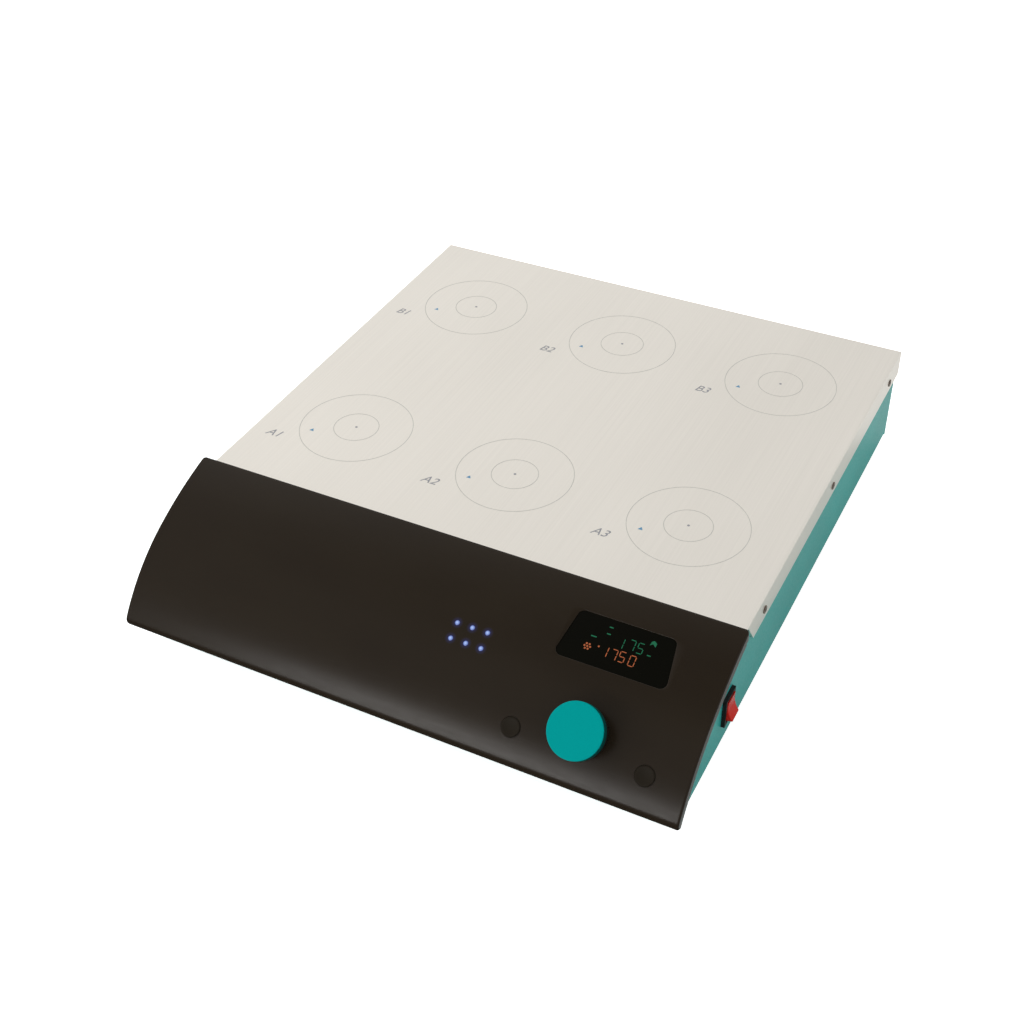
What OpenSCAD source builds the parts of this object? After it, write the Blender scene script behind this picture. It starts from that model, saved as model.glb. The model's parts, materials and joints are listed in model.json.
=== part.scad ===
// Magnetic stirrer with six stirring places under one flat steel plate.
// Millimetres, +Z up. The origin is on the table under the middle of the footprint.
// X runs along the front, and Y from the control panel to the back.

/* [Stirring places] */
// Distance between places along the front
pitch_x = 120; // [110:1:140]
// Distance between the front row and the back row
pitch_y = 172; // [160:1:190]

/* [Top plate] */
// Height of the plate's top face above the table
plate_z = 80; // [78:0.5:90]
// From an outer place's centre to the plate's side edge
margin_side = 64.4; // [60:0.2:75]
// From the back row's centres to the plate's back edge
margin_back = 76.7; // [72:0.1:90]
// From the front row's centres to the panel's upper edge
margin_front = 77.7; // [70:0.1:90]
// Thickness of the plate
plate_t = 1.5; // [1:0.1:2]
// Depth of the plate's folded edges
plate_fold = 19.2; // [17:0.2:24]
// Outer radius of the plate's folds
plate_fold_r = 1.2; // [0.6:0.1:1.4]
// How far the plate reaches in under the panel
plate_tuck = 9; // [8:0.5:12]
// How much thinner the plate's front edge is, where the panel stands on it
plate_step = 0.4; // [0.2:0.1:0.8]
// From the panel's upper edge back to where a side fold begins
fold_start = 8; // [6:0.5:12]
// Length of the sloping cut at the front end of a side fold
fold_cut = 12.5; // [8:0.5:16]
// Depth of the edge screws below the plate's top face
edge_screw_drop = 11.5; // [9:0.5:13]
// Distance of the front edge screw from the panel's upper edge
edge_screw_front = 38.3; // [30:0.1:44]
// Distance of the back edge screws from the plate's back edge
edge_screw_inset = 26; // [18:1:40]

/* [Front panel] */
// How far the panel reaches past the plate at each end
panel_over = 3.6; // [3:0.1:5]
// Wall of the moulded panel
panel_t = 3; // [2.6:0.1:3.4]
// Height of the panel's upper edge above the plate
panel_rise = 6.5; // [6:0.1:7.5]
// Radius of the panel's upper curve
panel_r_back = 230; // [210:1:260]
// Radius of the panel's lower curve
panel_r_front = 130; // [120:1:140]
// Slope of the panel at its upper edge, in degrees
slope_back = 14; // [12:0.5:16]
// Slope where the two curves meet
slope_join = 28; // [27:0.5:30]
// Slope of the panel at its lower edge
slope_toe = 57; // [55:0.5:58]
// Corner radius of the panel seen from above
panel_corner_r = 6; // [3:0.5:8]
// Depth of the turned-in rim at the panel's ends and lower edge
rim_depth = 7; // [6:0.5:9]
// Thickness of the lip along the panel's upper and lower edges
lip_t = 2.4; // [2:0.1:3]

/* [Housing] */
// Thickness of the painted sheet
sheet_t = 1.5; // [1.2:0.1:2]
// Width of the sheet's folded flanges
flange_w = 14; // [12:0.5:18]
// Height of the lower edge of the housing above the table
floor_z = 8; // [6:0.5:12]
// Outer radius of the fold along the lower edge of a side
side_fold_r = 2.5; // [2:0.1:3]
// From the panel's lower edge back to where the floor turns up
chin_back = 31; // [26:1:36]
// Width of a ventilation slot
vent_w = 3; // [2:0.1:3.6]
// Length of a ventilation slot
vent_l = 24; // [16:1:28]
// Distance between ventilation slots
vent_pitch = 7; // [6:0.5:9]

/* [Feet] */
// Diameter of a foot at the table
foot_d = 18; // [14:1:22]
// Diameter of a foot at the floor pan
foot_top_d = 22; // [18:1:26]
// Distance of a foot's centre from the housing's side
foot_inset_x = 32; // [28:1:44]
// Distance of the front feet from the floor's turned-up edge, and of the back feet from the back
foot_inset_y = 28; // [26:1:32]

/* [Stirring drives] */
// Running gap between the magnets and the plate
magnet_gap = 3; // [2:0.2:4]
// Diameter of a magnet carrier
carrier_d = 60; // [52:1:70]
// Thickness of a magnet carrier
carrier_t = 8; // [6:0.5:9]
// Diameter of a magnet
magnet_d = 14; // [10:0.5:16]
// Distance between the two magnets of a carrier
magnet_pitch = 42; // [38:1:44]
// Diameter of a spindle
spindle_d = 5; // [4:0.5:6]
// Diameter of a motor
motor_d = 42; // [38:1:46]
// Length of a motor's body
motor_h = 28; // [20:1:32]
// Diameter of a motor's end boss
motor_boss_d = 12; // [10:0.5:16]
// Distance between a motor's fixing screws
motor_screw_pitch = 22; // [20:1:24]
// Gap between the deck and the magnet carriers
deck_gap = 3.5; // [3:0.1:5]
// Thickness of the deck
deck_t = 2; // [1.5:0.1:3]
// From the outer places' centres to the deck's edge
deck_margin = 42; // [38:1:46]
// Diameter of a deck pillar
pillar_d = 8; // [6:0.5:10]
// Distance of the outer pillars from the deck's edges
pillar_inset = 12; // [8:0.5:14]

/* [Display] */
// Position of the display's centre along the front
display_x = 122.6; // [100:0.2:130]
// Slope of the display's plane
display_slope = 22.85; // [21:0.05:24]
// Width of the window's upper edge
display_top_w = 59.5; // [50:0.5:64]
// Width of the window's lower edge
display_low_w = 69; // [64:0.5:72]
// Height of the window
display_h = 28.6; // [24:0.1:30]
// Corner radius of the window
display_r = 4; // [2:0.5:5]
// Depth of the window's face below the panel's surface, at its middle
window_recess = 1; // [0.8:0.1:1.6]
// Width of the rim that holds the window behind the panel
window_rim = 2.5; // [2:0.1:3.5]

/* [Indicator lights] */
// Position of the group's centre along the front
lights_x = 36.7; // [10:0.1:50]
// Slope of the indicator board
lights_slope = 29; // [28:0.5:31]
// Distance between lights
lights_pitch = 10; // [8:0.5:12]
// Diameter of a light pipe
light_d = 3; // [2:0.1:4]

/* [Knob and buttons] */
// Position of the knob along the front
knob_x = 121.2; // [110:0.2:125]
// Slope of the panel under the knob
knob_slope = 42.5; // [41:0.5:44]
// Diameter of the coloured knob cap
cap_d = 33.6; // [30:0.2:36]
// Thickness of the knob cap
cap_t = 6.4; // [5:0.2:8]
// Edge radius of the knob cap
cap_r = 1.2; // [0.6:0.1:2]
// Diameter of the knob's body
knob_d = 31; // [26:0.5:32]
// Height of the knob's body
knob_h = 8.2; // [7:0.2:10]
// Gap between the knob and the panel
knob_gap = 0.9; // [0.7:0.1:1.5]
// Diameter of the encoder's shaft
encoder_shaft_d = 6; // [5:0.5:7]
// Side of the encoder's square body
encoder_w = 13; // [11:0.5:15]
// Distance from the knob to each button along the front
button_spread = 41.2; // [36:0.2:44]
// Slope of the panel at the buttons
button_slope = 47.3; // [46:0.1:49]
// Diameter of a button
button_d = 12; // [10:0.5:13]
// How far a button stands out of the panel
button_proud = 1.4; // [1:0.1:2]
// Travel of a button
button_travel = 0.8; // [0.4:0.1:0.9]

/* [Power switch] */
// Height of the switch's centre above the table
switch_z = 36; // [32:0.5:42]
// From the panel's upper edge forward to the switch's centre
switch_forward = 14.3; // [8:0.1:20]
// Width of the switch's bezel
bezel_w = 15; // [13:0.5:17]
// Height of the switch's bezel
bezel_h = 21; // [19:0.5:24]
// Thickness of the switch's bezel
bezel_t = 2.4; // [1.2:0.1:2.8]
// Width of the frame round the rocker
bezel_frame = 1.7; // [1.4:0.1:2.2]
// Depth of the switch's body behind the housing
switch_depth = 16; // [12:0.5:20]
// Tilt of the rocker to each side, in degrees
rocker_tilt = 12; // [6:0.5:13]

/* [Mains inlet] */
// Position of the inlet along the back
inlet_x = 120; // [90:1:130]
// Width of the inlet's flange
inlet_w = 31; // [30:0.5:34]
// Height of the inlet's flange
inlet_h = 38; // [36:0.5:42]
// Thickness of the inlet's flange
inlet_flange_t = 2; // [1.6:0.1:2.4]
// Depth of the inlet's body behind the panel
inlet_depth = 28; // [26:0.5:32]
// Width of the inlet's socket
socket_w = 24; // [23:0.2:25]
// Height of the inlet's socket
socket_h = 16; // [15.5:0.1:17]
// Depth of the inlet's socket
socket_depth = 17; // [15:0.5:19]
// Width of the fuse drawer
drawer_w = 22; // [21.5:0.1:24]
// Height of the fuse drawer
drawer_h = 9; // [8:0.5:10]
// Length of the fuse drawer
drawer_l = 25; // [24:0.5:26]

/* [Electronics] */
// Thickness of a circuit board
board_t = 1.6; // [1.2:0.1:2]
// Length of the power supply board
supply_w = 120; // [90:1:140]
// Depth of the power supply board
supply_l = 46; // [40:1:50]
// Length of the control board
control_w = 110; // [90:1:120]
// Depth of the control board
control_l = 44; // [36:1:48]
// Height of the posts under the boards
post_h = 6; // [4:0.5:8]
// Diameter of a board post
post_d = 6; // [5:0.5:7]

/* [Clearances] */
// Gap between sheet parts that slide over each other in assembly
sheet_gap = 0.2; // [0.1:0.05:0.4]
// Gap round parts that move
move_gap = 0.3; // [0.3:0.05:0.4]
// Radial running clearance of shafts
run_gap = 0.05; // [0.02:0.01:0.09]
// Radial clearance of screw holes
hole_gap = 0.3; // [0.2:0.05:0.5]

/* [Hidden] */
$fn = 48;
places = ["a1", "a2", "a3", "b1", "b2", "b3"];

// Panel outline: two arcs that share a tangent, each point found by its slope
function normal(a) = [-sin(a), cos(a)];
panel_run = panel_r_back * (sin(slope_join) - sin(slope_back))
          + panel_r_front * (sin(slope_toe) - sin(slope_join));
depth = margin_back + pitch_y + margin_front + panel_run;
y_back = depth / 2;
row_b = y_back - margin_back;
row_a = row_b - pitch_y;
y_lip = row_a - margin_front;
z_lip = plate_z + panel_rise;
centre_back = [y_lip, z_lip] - panel_r_back * normal(slope_back);
centre_front = centre_back + (panel_r_back - panel_r_front) * normal(slope_join);
function panel_point(a, d = 0) = a <= slope_join
  ? centre_back + (panel_r_back - d) * normal(a)
  : centre_front + (panel_r_front - d) * normal(a);
function slope_at(y, d) = asin((centre_back[0] - y) / (panel_r_back - d));
arc_step = 1.5;
// Half of what the bridge between the panel's two arcs spans, in degrees
bridge_turn = 0.4;
function panel_curve(from, to, d) =
  let (n = ceil((to - from) / arc_step))
  [for (k = [0:n]) panel_point(from + (to - from) * k / n, d)];

plate_w = 2 * (pitch_x + margin_side);
panel_w = plate_w + 2 * panel_over;
plate_under = plate_z - plate_t;
y_tuck = y_lip - plate_tuck;
seat_z = plate_z - plate_step;
side_out = plate_w / 2 - plate_t - sheet_gap;
side_in = side_out - sheet_t;
pan_half = side_out - side_fold_r;
back_out = y_back - plate_t - sheet_gap;
back_in = back_out - sheet_t;
pan_z = floor_z + sheet_t;
pan_top = pan_z + sheet_t;
toe = panel_point(slope_toe);
y_chin = toe[0] + chin_back;
chin_tip = panel_point(slope_toe, rim_depth) + [lip_t, 0];
chin_angle = atan2(chin_tip[1] - floor_z, y_chin - chin_tip[0]);
// Slope just short of the panel's lower lip
slope_lip = slope_toe - asin((lip_t + sheet_gap) / (panel_r_front - rim_depth));
function chin_side(d) = [[y_chin + d * tan(chin_angle / 2), floor_z + d],
                         chin_tip + d * [sin(chin_angle), cos(chin_angle)]];
fold_front = y_lip + fold_start;
screw_y_front = y_lip + edge_screw_front;
screw_y_back = y_back - edge_screw_inset;
edge_screw_y = [screw_y_front, (screw_y_front + screw_y_back) / 2, screw_y_back];

magnet_floor = 2;
carrier_z = plate_under - magnet_gap - carrier_t;
deck_z = carrier_z - deck_gap - deck_t;
motor_boss_h = deck_t + 1;
spindle_h = 14;
pillar_y = [row_a - deck_margin + pillar_inset, row_b + deck_margin - pillar_inset];
pillar_x = [-pitch_x - deck_margin + pillar_inset, -pitch_x / 2, pitch_x / 2,
            pitch_x + deck_margin - pillar_inset];
foot_x = side_out - foot_inset_x;
foot_y = [y_chin + foot_inset_y, back_out - foot_inset_y];

panel_boss_r = 3.5;
m3_r = 1.5;
m3_head_r = 2.8;
m3_head_h = 2;
m4_r = 2;
m4_head_r = 3.8;
m4_head_h = 2.4;

board_z = pan_top + post_h;
board_y = y_lip - 34;
supply_x = -70;
control_x = 80;
post_inset = 5;
chip_w = 14;
chip_t = 1.4;
ribbon_x = [lights_x + 5, lights_x + 53, display_x];
ribbon_w = 20;
ribbon_y = board_y + 10;
ribbon_t = 0.8;
ribbon_plug_l = 6;
ribbon_plug_h = 5;
core_w = 32;
core_l = 26;
core_t = 5;
coil_inset = 4.5;
coil_h = 12;
capacitor_r = 6;
capacitor_h = 20;

display_sag = panel_r_back - sqrt(pow(panel_r_back, 2) - pow(display_h / 2 + window_rim, 2));
window_seat = panel_t + display_sag + 0.2;
window_back_t = 1.5;
module_t = 7;
module_inset = 2;
display_board_z = window_seat + window_back_t + module_t;
display_post_x = display_low_w / 2 + window_rim + 1 + post_d / 2;
lights_seat = panel_t + 1.5;
lights_board_w = 3 * lights_pitch + 2 * post_d;
encoder_h = 6.5;
encoder_bush_r = encoder_shaft_d / 2 + 1.2;
keypad_z = 14;
keypad_w = 2 * button_spread + 16;
keypad_low = 7;
keypad_high = 14;
button_sleeve = 2.5;
button_rim = 1.6;
button_at = panel_point(button_slope) - panel_point(knob_slope);
button_y = button_at[0] * cos(knob_slope) + button_at[1] * sin(knob_slope);
button_z = -button_at[0] * sin(knob_slope) + button_at[1] * cos(knob_slope);
button_flange = 1.5;
button_seat = panel_t + 2.5;
tact_w = 6.2;
tact_h = 4;
tact_stem_r = 1.6;
tact_floor = 1;

switch_y = y_lip - switch_forward;
rocker_w = bezel_w - 2 * bezel_frame - 2 * move_gap;
rocker_h = bezel_h - 2 * bezel_frame - 2 * move_gap;
rocker_pin_r = 1.2;
rocker_pivot = 2.2;
rocker_relief = 1.3;
inlet_z = (pan_top + plate_z - plate_fold) / 2;
inlet_body_w = inlet_w - 4;
inlet_body_h = inlet_h - 4;
socket_z = inlet_z + 6.5;
socket_cut = 4;
drawer_z = inlet_z - 10.5;
pin_l = 11.5;
inlet_face = back_out + inlet_flange_t;
fuse_l = 20;
fuse_r = 2.6;

side_screw_y = [y_chin + 12, (y_chin + back_in) / 2, back_in - 20];
panel_boss_inset = 10;
panel_screw_l = 9;
panel_screw_end = side_in - panel_boss_r - 3;
panel_screw_x = [-panel_screw_end, -pitch_x / 2,
                 (lights_x + lights_board_w / 2 + knob_x - keypad_w / 2) / 2, panel_screw_end];

// Places a child on the panel's surface at a slope, its Z along the outward normal
module on_panel(slope) {
  p = panel_point(slope);
  translate([0, p[0], p[1]]) rotate([slope, 0, 0]) children();
}

// Extrudes an outline drawn in the YZ plane along X, centred
module along_x(w) {
  rotate([90, 0, 90]) linear_extrude(w, center = true) children();
}

// Part of a ring between two slopes, its outside d0 and its inside d1 below the surface
module ring_part(centre, r, a0, a1, d0, d1) {
  reach = 1.3 * r;
  intersection() {
    translate(centre) difference() {
      circle(r - d0, $fn = 180);
      circle(r - d1, $fn = 180);
    }
    polygon([centre, centre + reach * normal(a0), centre + reach * normal(a1)]);
  }
}

// Cross-section of the panel's wall; its two arcs meet in one line, and a bridge in mid-wall ties them
module panel_wall(d0, d1) {
  ring_part(centre_back, panel_r_back, slope_back - 1, slope_join, d0, d1);
  ring_part(centre_front, panel_r_front, slope_join, slope_toe, d0, d1);
  inset = (d1 - d0) / 4;
  polygon([for (q = [[-1, d0 + inset], [1, d0 + inset], [1, d1 - inset], [-1, d1 - inset]])
    panel_point(slope_join + q[0] * bridge_turn, q[1])]);
}

// Everything below the panel's surface, less d
module under_panel(d, w) {
  along_x(w) polygon(concat(panel_curve(slope_back, slope_toe, d), [[toe[0], 0], [y_lip, 0]]));
}

// Rectangle with its two upper corners rounded, standing on the axis
module arch(w, h, r) {
  translate([-w / 2, 0]) square([w, h - r]);
  translate([r - w / 2, h - r]) square([w - 2 * r, r]);
  for (s = [-1, 1]) translate([s * (w / 2 - r), h - r]) circle(r);
}

// Trapezoid centred on its middle, with rounded corners; top is its upper width, low its lower
function corner(p, from, to, r) =
  let (u = (from - p) / norm(from - p), v = (to - p) / norm(to - p),
       half = acos(u * v) / 2, c = p + (u + v) / norm(u + v) * r / sin(half),
       start = p + u * r / tan(half) - c, turn = 180 - 2 * half, n = 6)
  [for (k = [0:n]) let (t = -turn * k / n)
    c + [start[0] * cos(t) - start[1] * sin(t), start[0] * sin(t) + start[1] * cos(t)]];
module trapezoid(top, low, h, r) {
  q = [[-low / 2, -h / 2], [-top / 2, h / 2], [top / 2, h / 2], [low / 2, -h / 2]];
  polygon([for (i = [0:3]) each corner(q[i], q[(i + 3) % 4], q[(i + 1) % 4], r)]);
}
module window_outline(grow) {
  trapezoid(display_top_w + 2 * grow, display_low_w + 2 * grow, display_h + 2 * grow, display_r + grow / 2);
}

// Pan head screw, its head above the origin and its shank below, and one with a cross recess
module plain_screw(r, head_r, head_h, length) {
  cylinder(r1 = head_r, r2 = head_r - 0.8, h = head_h);
  translate([0, 0, -length]) cylinder(r = r, h = length + head_h / 2);
}
module screw(r, head_r, head_h, length) {
  difference() {
    plain_screw(r, head_r, head_h, length);
    for (a = [0, 90]) rotate([0, 0, a]) translate([-head_r / 2, -0.5, head_h / 2]) cube([head_r, 1, head_h]);
  }
}

module at_feet() {
  for (x = [-foot_x, foot_x], y = foot_y) translate([x, y, 0]) children();
}
module at_pillars() {
  for (x = pillar_x, y = pillar_y) translate([x, y, 0]) children();
}
module at_side_edge_screws(side) {
  for (y = edge_screw_y) translate([side * plate_w / 2, y, plate_z - edge_screw_drop])
    rotate([0, side * 90, 0]) children();
}
module at_back_edge_screws() {
  for (x = [-pitch_x, 0, pitch_x]) translate([x, y_back, plate_z - edge_screw_drop])
    rotate([-90, 0, 0]) children();
}
module at_base_screws() {
  for (x = [-1, 1], y = side_screw_y) translate([x * (side_in - flange_w / 2), y, floor_z]) children();
  for (x = [-pitch_x, 0, pitch_x]) translate([x, back_in - flange_w / 2, floor_z]) children();
}
// Screws through the turned-up front of the floor into the panel's bosses
module at_panel_screws() {
  for (x = panel_screw_x) translate([x, chin_tip[0], chin_tip[1]]) rotate([-chin_angle, 0, 0])
    translate([0, panel_boss_inset, sheet_t]) children();
}

// One ventilation slot, cut along Z
module vent() {
  cube([vent_w, vent_l, 6 * sheet_t], center = true);
}

module base_pan() {
  color("cadetblue") difference() {
    union() {
      translate([-side_in, y_chin + flange_w, pan_z])
        cube([2 * side_in, back_in - y_chin - flange_w, sheet_t]);
      // Turned-up front, from the floor to the panel's lower lip
      along_x(2 * side_in) polygon([
        each chin_side(sheet_t), chin_side(2 * sheet_t)[1], chin_side(2 * sheet_t)[0],
        [y_chin + flange_w, pan_top], [y_chin + flange_w, pan_z]]);
    }
    // Room for the folds along the lower edges of the sides
    for (s = [-1, 1]) translate([s * side_in, y_chin + (back_in - y_chin) / 2, pan_z])
      cube([2 * (side_in - pan_half), back_in - y_chin, 4 * sheet_t], center = true);
    at_feet() cylinder(r = m4_r, h = 4 * pan_top, center = true);
    at_pillars() cylinder(r = m3_r + hole_gap, h = 4 * pan_top, center = true);
    at_base_screws() cylinder(r = m3_r, h = 4 * pan_top, center = true);
    at_panel_screws() cylinder(r = m3_r + hole_gap, h = 4 * sheet_t, center = true);
    for (row = [row_a, row_b], i = [-1, 0, 1], k = [-2:2])
      translate([i * pitch_x + k * vent_pitch, row, pan_z]) vent();
  }
}

// Side of the housing: a wall with its upper and lower edges folded inwards
module side_panel(side) {
  front = slope_at(y_tuck - sheet_gap, panel_t + sheet_gap);
  color("cadetblue") difference() {
    union() {
      difference() {
        translate([side * (side_out - sheet_t / 2), 0, 0]) along_x(sheet_t) polygon(concat(
          [[back_in, floor_z], [back_in, plate_under], [y_tuck - sheet_gap, plate_under]],
          panel_curve(front, slope_lip, panel_t + sheet_gap),
          [panel_point(slope_lip, rim_depth + sheet_gap), chin_tip, [y_chin, floor_z]]));
        // Room for the rounded fold along the lower edge
        translate([side * (side_out - side_fold_r / 2), y_chin + (back_in - y_chin) / 2, floor_z])
          cube([side_fold_r, back_in - y_chin + 1, 2 * side_fold_r], center = true);
      }
      translate([side * side_out, back_in, floor_z]) rotate([90, 0, 0])
        linear_extrude(back_in - y_chin) scale([-side, 1]) union() {
          intersection() {
            translate([side_fold_r, side_fold_r]) difference() {
              circle(side_fold_r);
              circle(side_fold_r - sheet_t);
            }
            square(side_fold_r);
          }
          translate([side_fold_r, 0]) square([flange_w - side_fold_r, sheet_t]);
        }
      // Upper flange, under the plate
      translate([side > 0 ? side_out - flange_w : -side_out, y_tuck, plate_under - sheet_t])
        cube([flange_w, back_in - y_tuck, sheet_t]);
    }
    at_base_screws() cylinder(r = m3_r, h = 4 * sheet_t, center = true);
    at_side_edge_screws(side) cylinder(r = m3_r, h = 8 * sheet_t, center = true);
    if (side > 0) at_switch() cube([2 * bezel_t + 6 * sheet_t, bezel_w - 2, bezel_h - 2], center = true);
  }
}

module back_panel() {
  color("cadetblue") difference() {
    union() {
      translate([-side_out, back_in, floor_z]) cube([2 * side_out, sheet_t, plate_under - floor_z]);
      translate([-side_out + flange_w + sheet_gap, back_in - flange_w, floor_z])
        cube([2 * (side_out - flange_w - sheet_gap), flange_w, sheet_t]);
    }
    at_base_screws() cylinder(r = m3_r, h = 4 * sheet_t, center = true);
    at_back_edge_screws() cylinder(r = m3_r, h = 8 * sheet_t, center = true);
    translate([inlet_x, back_in, inlet_z])
      cube([inlet_body_w + 2 * sheet_gap, 4 * sheet_t, inlet_body_h + 2 * sheet_gap], center = true);
    for (x = [-pitch_x, 0], k = [-4:4]) translate([x + k * vent_pitch, back_in, inlet_z])
      rotate([90, 0, 0]) vent();
  }
}

// Flat plate with three edges folded down
module top_plate() {
  l = y_back - y_lip + plate_tuck / 2;
  mid = y_back - l / 2;
  color("gainsboro") difference() {
    union() {
      difference() {
        intersection() {
          translate([0, y_back, plate_z - plate_fold]) rotate([90, 0, 0])
            linear_extrude(l) arch(plate_w, plate_fold, plate_fold_r);
          translate([0, mid, plate_z - plate_fold]) along_x(plate_w) union() {
            translate([-l / 2, 0]) square([l, plate_fold - plate_fold_r]);
            translate([-l / 2, 0]) square([l - plate_fold_r, plate_fold]);
            translate([l / 2 - plate_fold_r, plate_fold - plate_fold_r]) circle(plate_fold_r);
          }
        }
        translate([0, mid - plate_t, plate_under - plate_fold / 2 - 1])
          cube([plate_w - 2 * plate_t, l, plate_fold + 2], center = true);
        // Sloping front ends of the side folds
        along_x(2 * plate_w) polygon([
          [y_tuck, plate_under], [fold_front, plate_under],
          [fold_front + fold_cut, plate_z - plate_fold], [fold_front + fold_cut, 0], [y_tuck, 0]]);
      }
      translate([-side_out, y_tuck, plate_under]) cube([2 * side_out, plate_tuck, plate_t]);
    }
    // Thinner front edge, under the panel
    translate([-plate_w, y_tuck - 1, seat_z]) cube([2 * plate_w, plate_tuck + 1 + sheet_gap, plate_t]);
    at_side_edge_screws(-1) cylinder(r = m3_r + hole_gap, h = 8 * plate_t, center = true);
    at_side_edge_screws(1) cylinder(r = m3_r + hole_gap, h = 8 * plate_t, center = true);
    at_back_edge_screws() cylinder(r = m3_r + hole_gap, h = 8 * plate_t, center = true);
  }
}

module front_panel() {
  rim_in = side_out + 2 * sheet_gap;
  rim_t = panel_w / 2 - rim_in;
  slope_low = slope_toe - asin(lip_t / panel_r_front);
  color("#2b2622") difference() {
    union() {
      intersection() {
        union() {
          along_x(panel_w) union() {
            panel_wall(0, panel_t);
            // Lower lip, turned in towards the floor
            ring_part(centre_front, panel_r_front, slope_low, slope_toe, 0, rim_depth);
            // Upper lip, standing on the plate
            polygon([[y_lip - lip_t, seat_z], [y_lip, seat_z], [y_lip, z_lip - panel_t / 2],
                     [y_lip - lip_t, z_lip - panel_t / 2]]);
          }
          // Rims at the two ends, beside the housing
          for (s = [-1, 1]) translate([s * (rim_in + rim_t / 2), 0, 0]) difference() {
            along_x(rim_t) panel_wall(0, rim_depth);
            translate([-rim_t, y_lip - plate_tuck / 2 - sheet_gap, 0]) cube([2 * rim_t, plate_tuck, seat_z]);
          }
        }
        // Outline from above, with the two upper corners rounded
        translate([0, toe[0] - 1, 0]) linear_extrude(2 * z_lip)
          arch(panel_w, y_lip - toe[0] + 1, panel_corner_r);
      }
      intersection() {
        union() {
          at_panel_screws() translate([0, 0, sheet_t]) cylinder(r = panel_boss_r, h = z_lip);
          display_corners(display_board_z) cylinder(r = post_d / 2, h = display_board_z);
          lights_corners(lights_seat) cylinder(r = post_d / 2, h = lights_seat);
          keypad_corners(keypad_z) cylinder(r = post_d / 2, h = keypad_z);
          for (s = [-1, 1]) at_button(s) translate([0, 0, -button_seat])
            cylinder(r = button_d / 2 + button_sleeve, h = button_seat);
        }
        under_panel(panel_t / 3, panel_w - 2 * rim_t);
      }
    }
    on_panel(display_slope) translate([display_x, 0, -2 * panel_t]) linear_extrude(4 * panel_t)
      window_outline(sheet_gap);
    at_lights() cylinder(r = light_d / 2 + sheet_gap / 2, h = 4 * panel_t, center = true);
    on_panel(knob_slope) translate([knob_x, 0, 0])
      cylinder(r = encoder_bush_r + sheet_gap, h = 4 * panel_t, center = true);
    for (s = [-1, 1]) at_button(s) cylinder(r = button_d / 2 + move_gap, h = 4 * button_seat, center = true);
    at_panel_screws() cylinder(r = m3_r, h = 2 * panel_screw_l + 2, center = true);
  }
}

// Fixing points of the three boards behind the panel
module display_corners(z) {
  on_panel(display_slope) for (s = [-1, 1], v = [-1, 1])
    translate([display_x + s * display_post_x, v * (display_h / 2 - 2), -z]) children();
}
module lights_corners(z) {
  on_panel(lights_slope) for (s = [-1, 1])
    translate([lights_x + s * (1.5 * lights_pitch + post_d / 2), 0, -z]) children();
}
module keypad_corners(z) {
  on_panel(knob_slope) for (s = [-1, 1], v = [0, 1])
    translate([knob_x + s * button_spread / 2,
               v * (button_y + post_d / 2 - keypad_low + 2) + (1 - v) * (keypad_high - post_d / 2 - 1), -z])
      children();
}
module at_lights() {
  on_panel(lights_slope) for (i = [-1:1], k = [-0.5, 0.5])
    translate([lights_x + i * lights_pitch, k * lights_pitch, 0]) children();
}
module at_button(s) {
  on_panel(knob_slope) translate([knob_x + s * button_spread, button_y, button_z]) children();
}
module at_switch() {
  translate([side_out, switch_y, switch_z]) children();
}

module feet() {
  color("#1e1e1e") at_feet() difference() {
    cylinder(r1 = foot_d / 2, r2 = foot_top_d / 2, h = pan_z);
    translate([0, 0, -1]) cylinder(r = m4_head_r + hole_gap, h = pan_z / 2 + 1);
    cylinder(r = m4_r + hole_gap, h = 3 * pan_z, center = true);
  }
}
module foot_screws() {
  color("dimgray") at_feet() translate([0, 0, pan_z / 2]) rotate([180, 0, 0])
    screw(m4_r, m4_head_r, m4_head_h, pan_z / 2 + sheet_t + 3);
}
module top_plate_screws() {
  color("dimgray") {
    for (s = [-1, 1]) at_side_edge_screws(s) screw(m3_r, m3_head_r, m3_head_h, 8);
    at_back_edge_screws() screw(m3_r, m3_head_r, m3_head_h, 8);
  }
}
module housing_screws() {
  color("dimgray") {
    at_base_screws() rotate([180, 0, 0]) screw(m3_r, m3_head_r, m3_head_h, 2 * sheet_t + 3);
    at_panel_screws() rotate([180, 0, 0]) screw(m3_r, m3_head_r, m3_head_h, panel_screw_l);
  }
}

module motor_deck() {
  color("silver") difference() {
    translate([-pitch_x - deck_margin, row_a - deck_margin, deck_z])
      cube([2 * (pitch_x + deck_margin), pitch_y + 2 * deck_margin, deck_t]);
    at_places() cylinder(r = motor_boss_d / 2 + hole_gap, h = 3 * plate_z, center = true);
    at_places() at_motor_screws() cylinder(r = m3_r + hole_gap, h = 3 * plate_z, center = true);
    at_pillars() cylinder(r = m3_r + hole_gap, h = 3 * plate_z, center = true);
  }
}
module deck_pillars() {
  color("silver") difference() {
    at_pillars() translate([0, 0, pan_top]) cylinder(r = pillar_d / 2, h = deck_z - pan_top);
    at_pillars() cylinder(r = m3_r, h = 3 * plate_z, center = true);
  }
}
module deck_screws() {
  color("dimgray") {
    at_places() at_motor_screws() translate([0, 0, deck_z + deck_t])
      plain_screw(m3_r, m3_head_r, m3_head_h, deck_t + 4);
    at_pillars() translate([0, 0, deck_z + deck_t]) plain_screw(m3_r, m3_head_r, m3_head_h, deck_t + 6);
    at_pillars() translate([0, 0, pan_z]) rotate([180, 0, 0])
      screw(m3_r, m3_head_r, m3_head_h, sheet_t + 6);
  }
}

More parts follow.
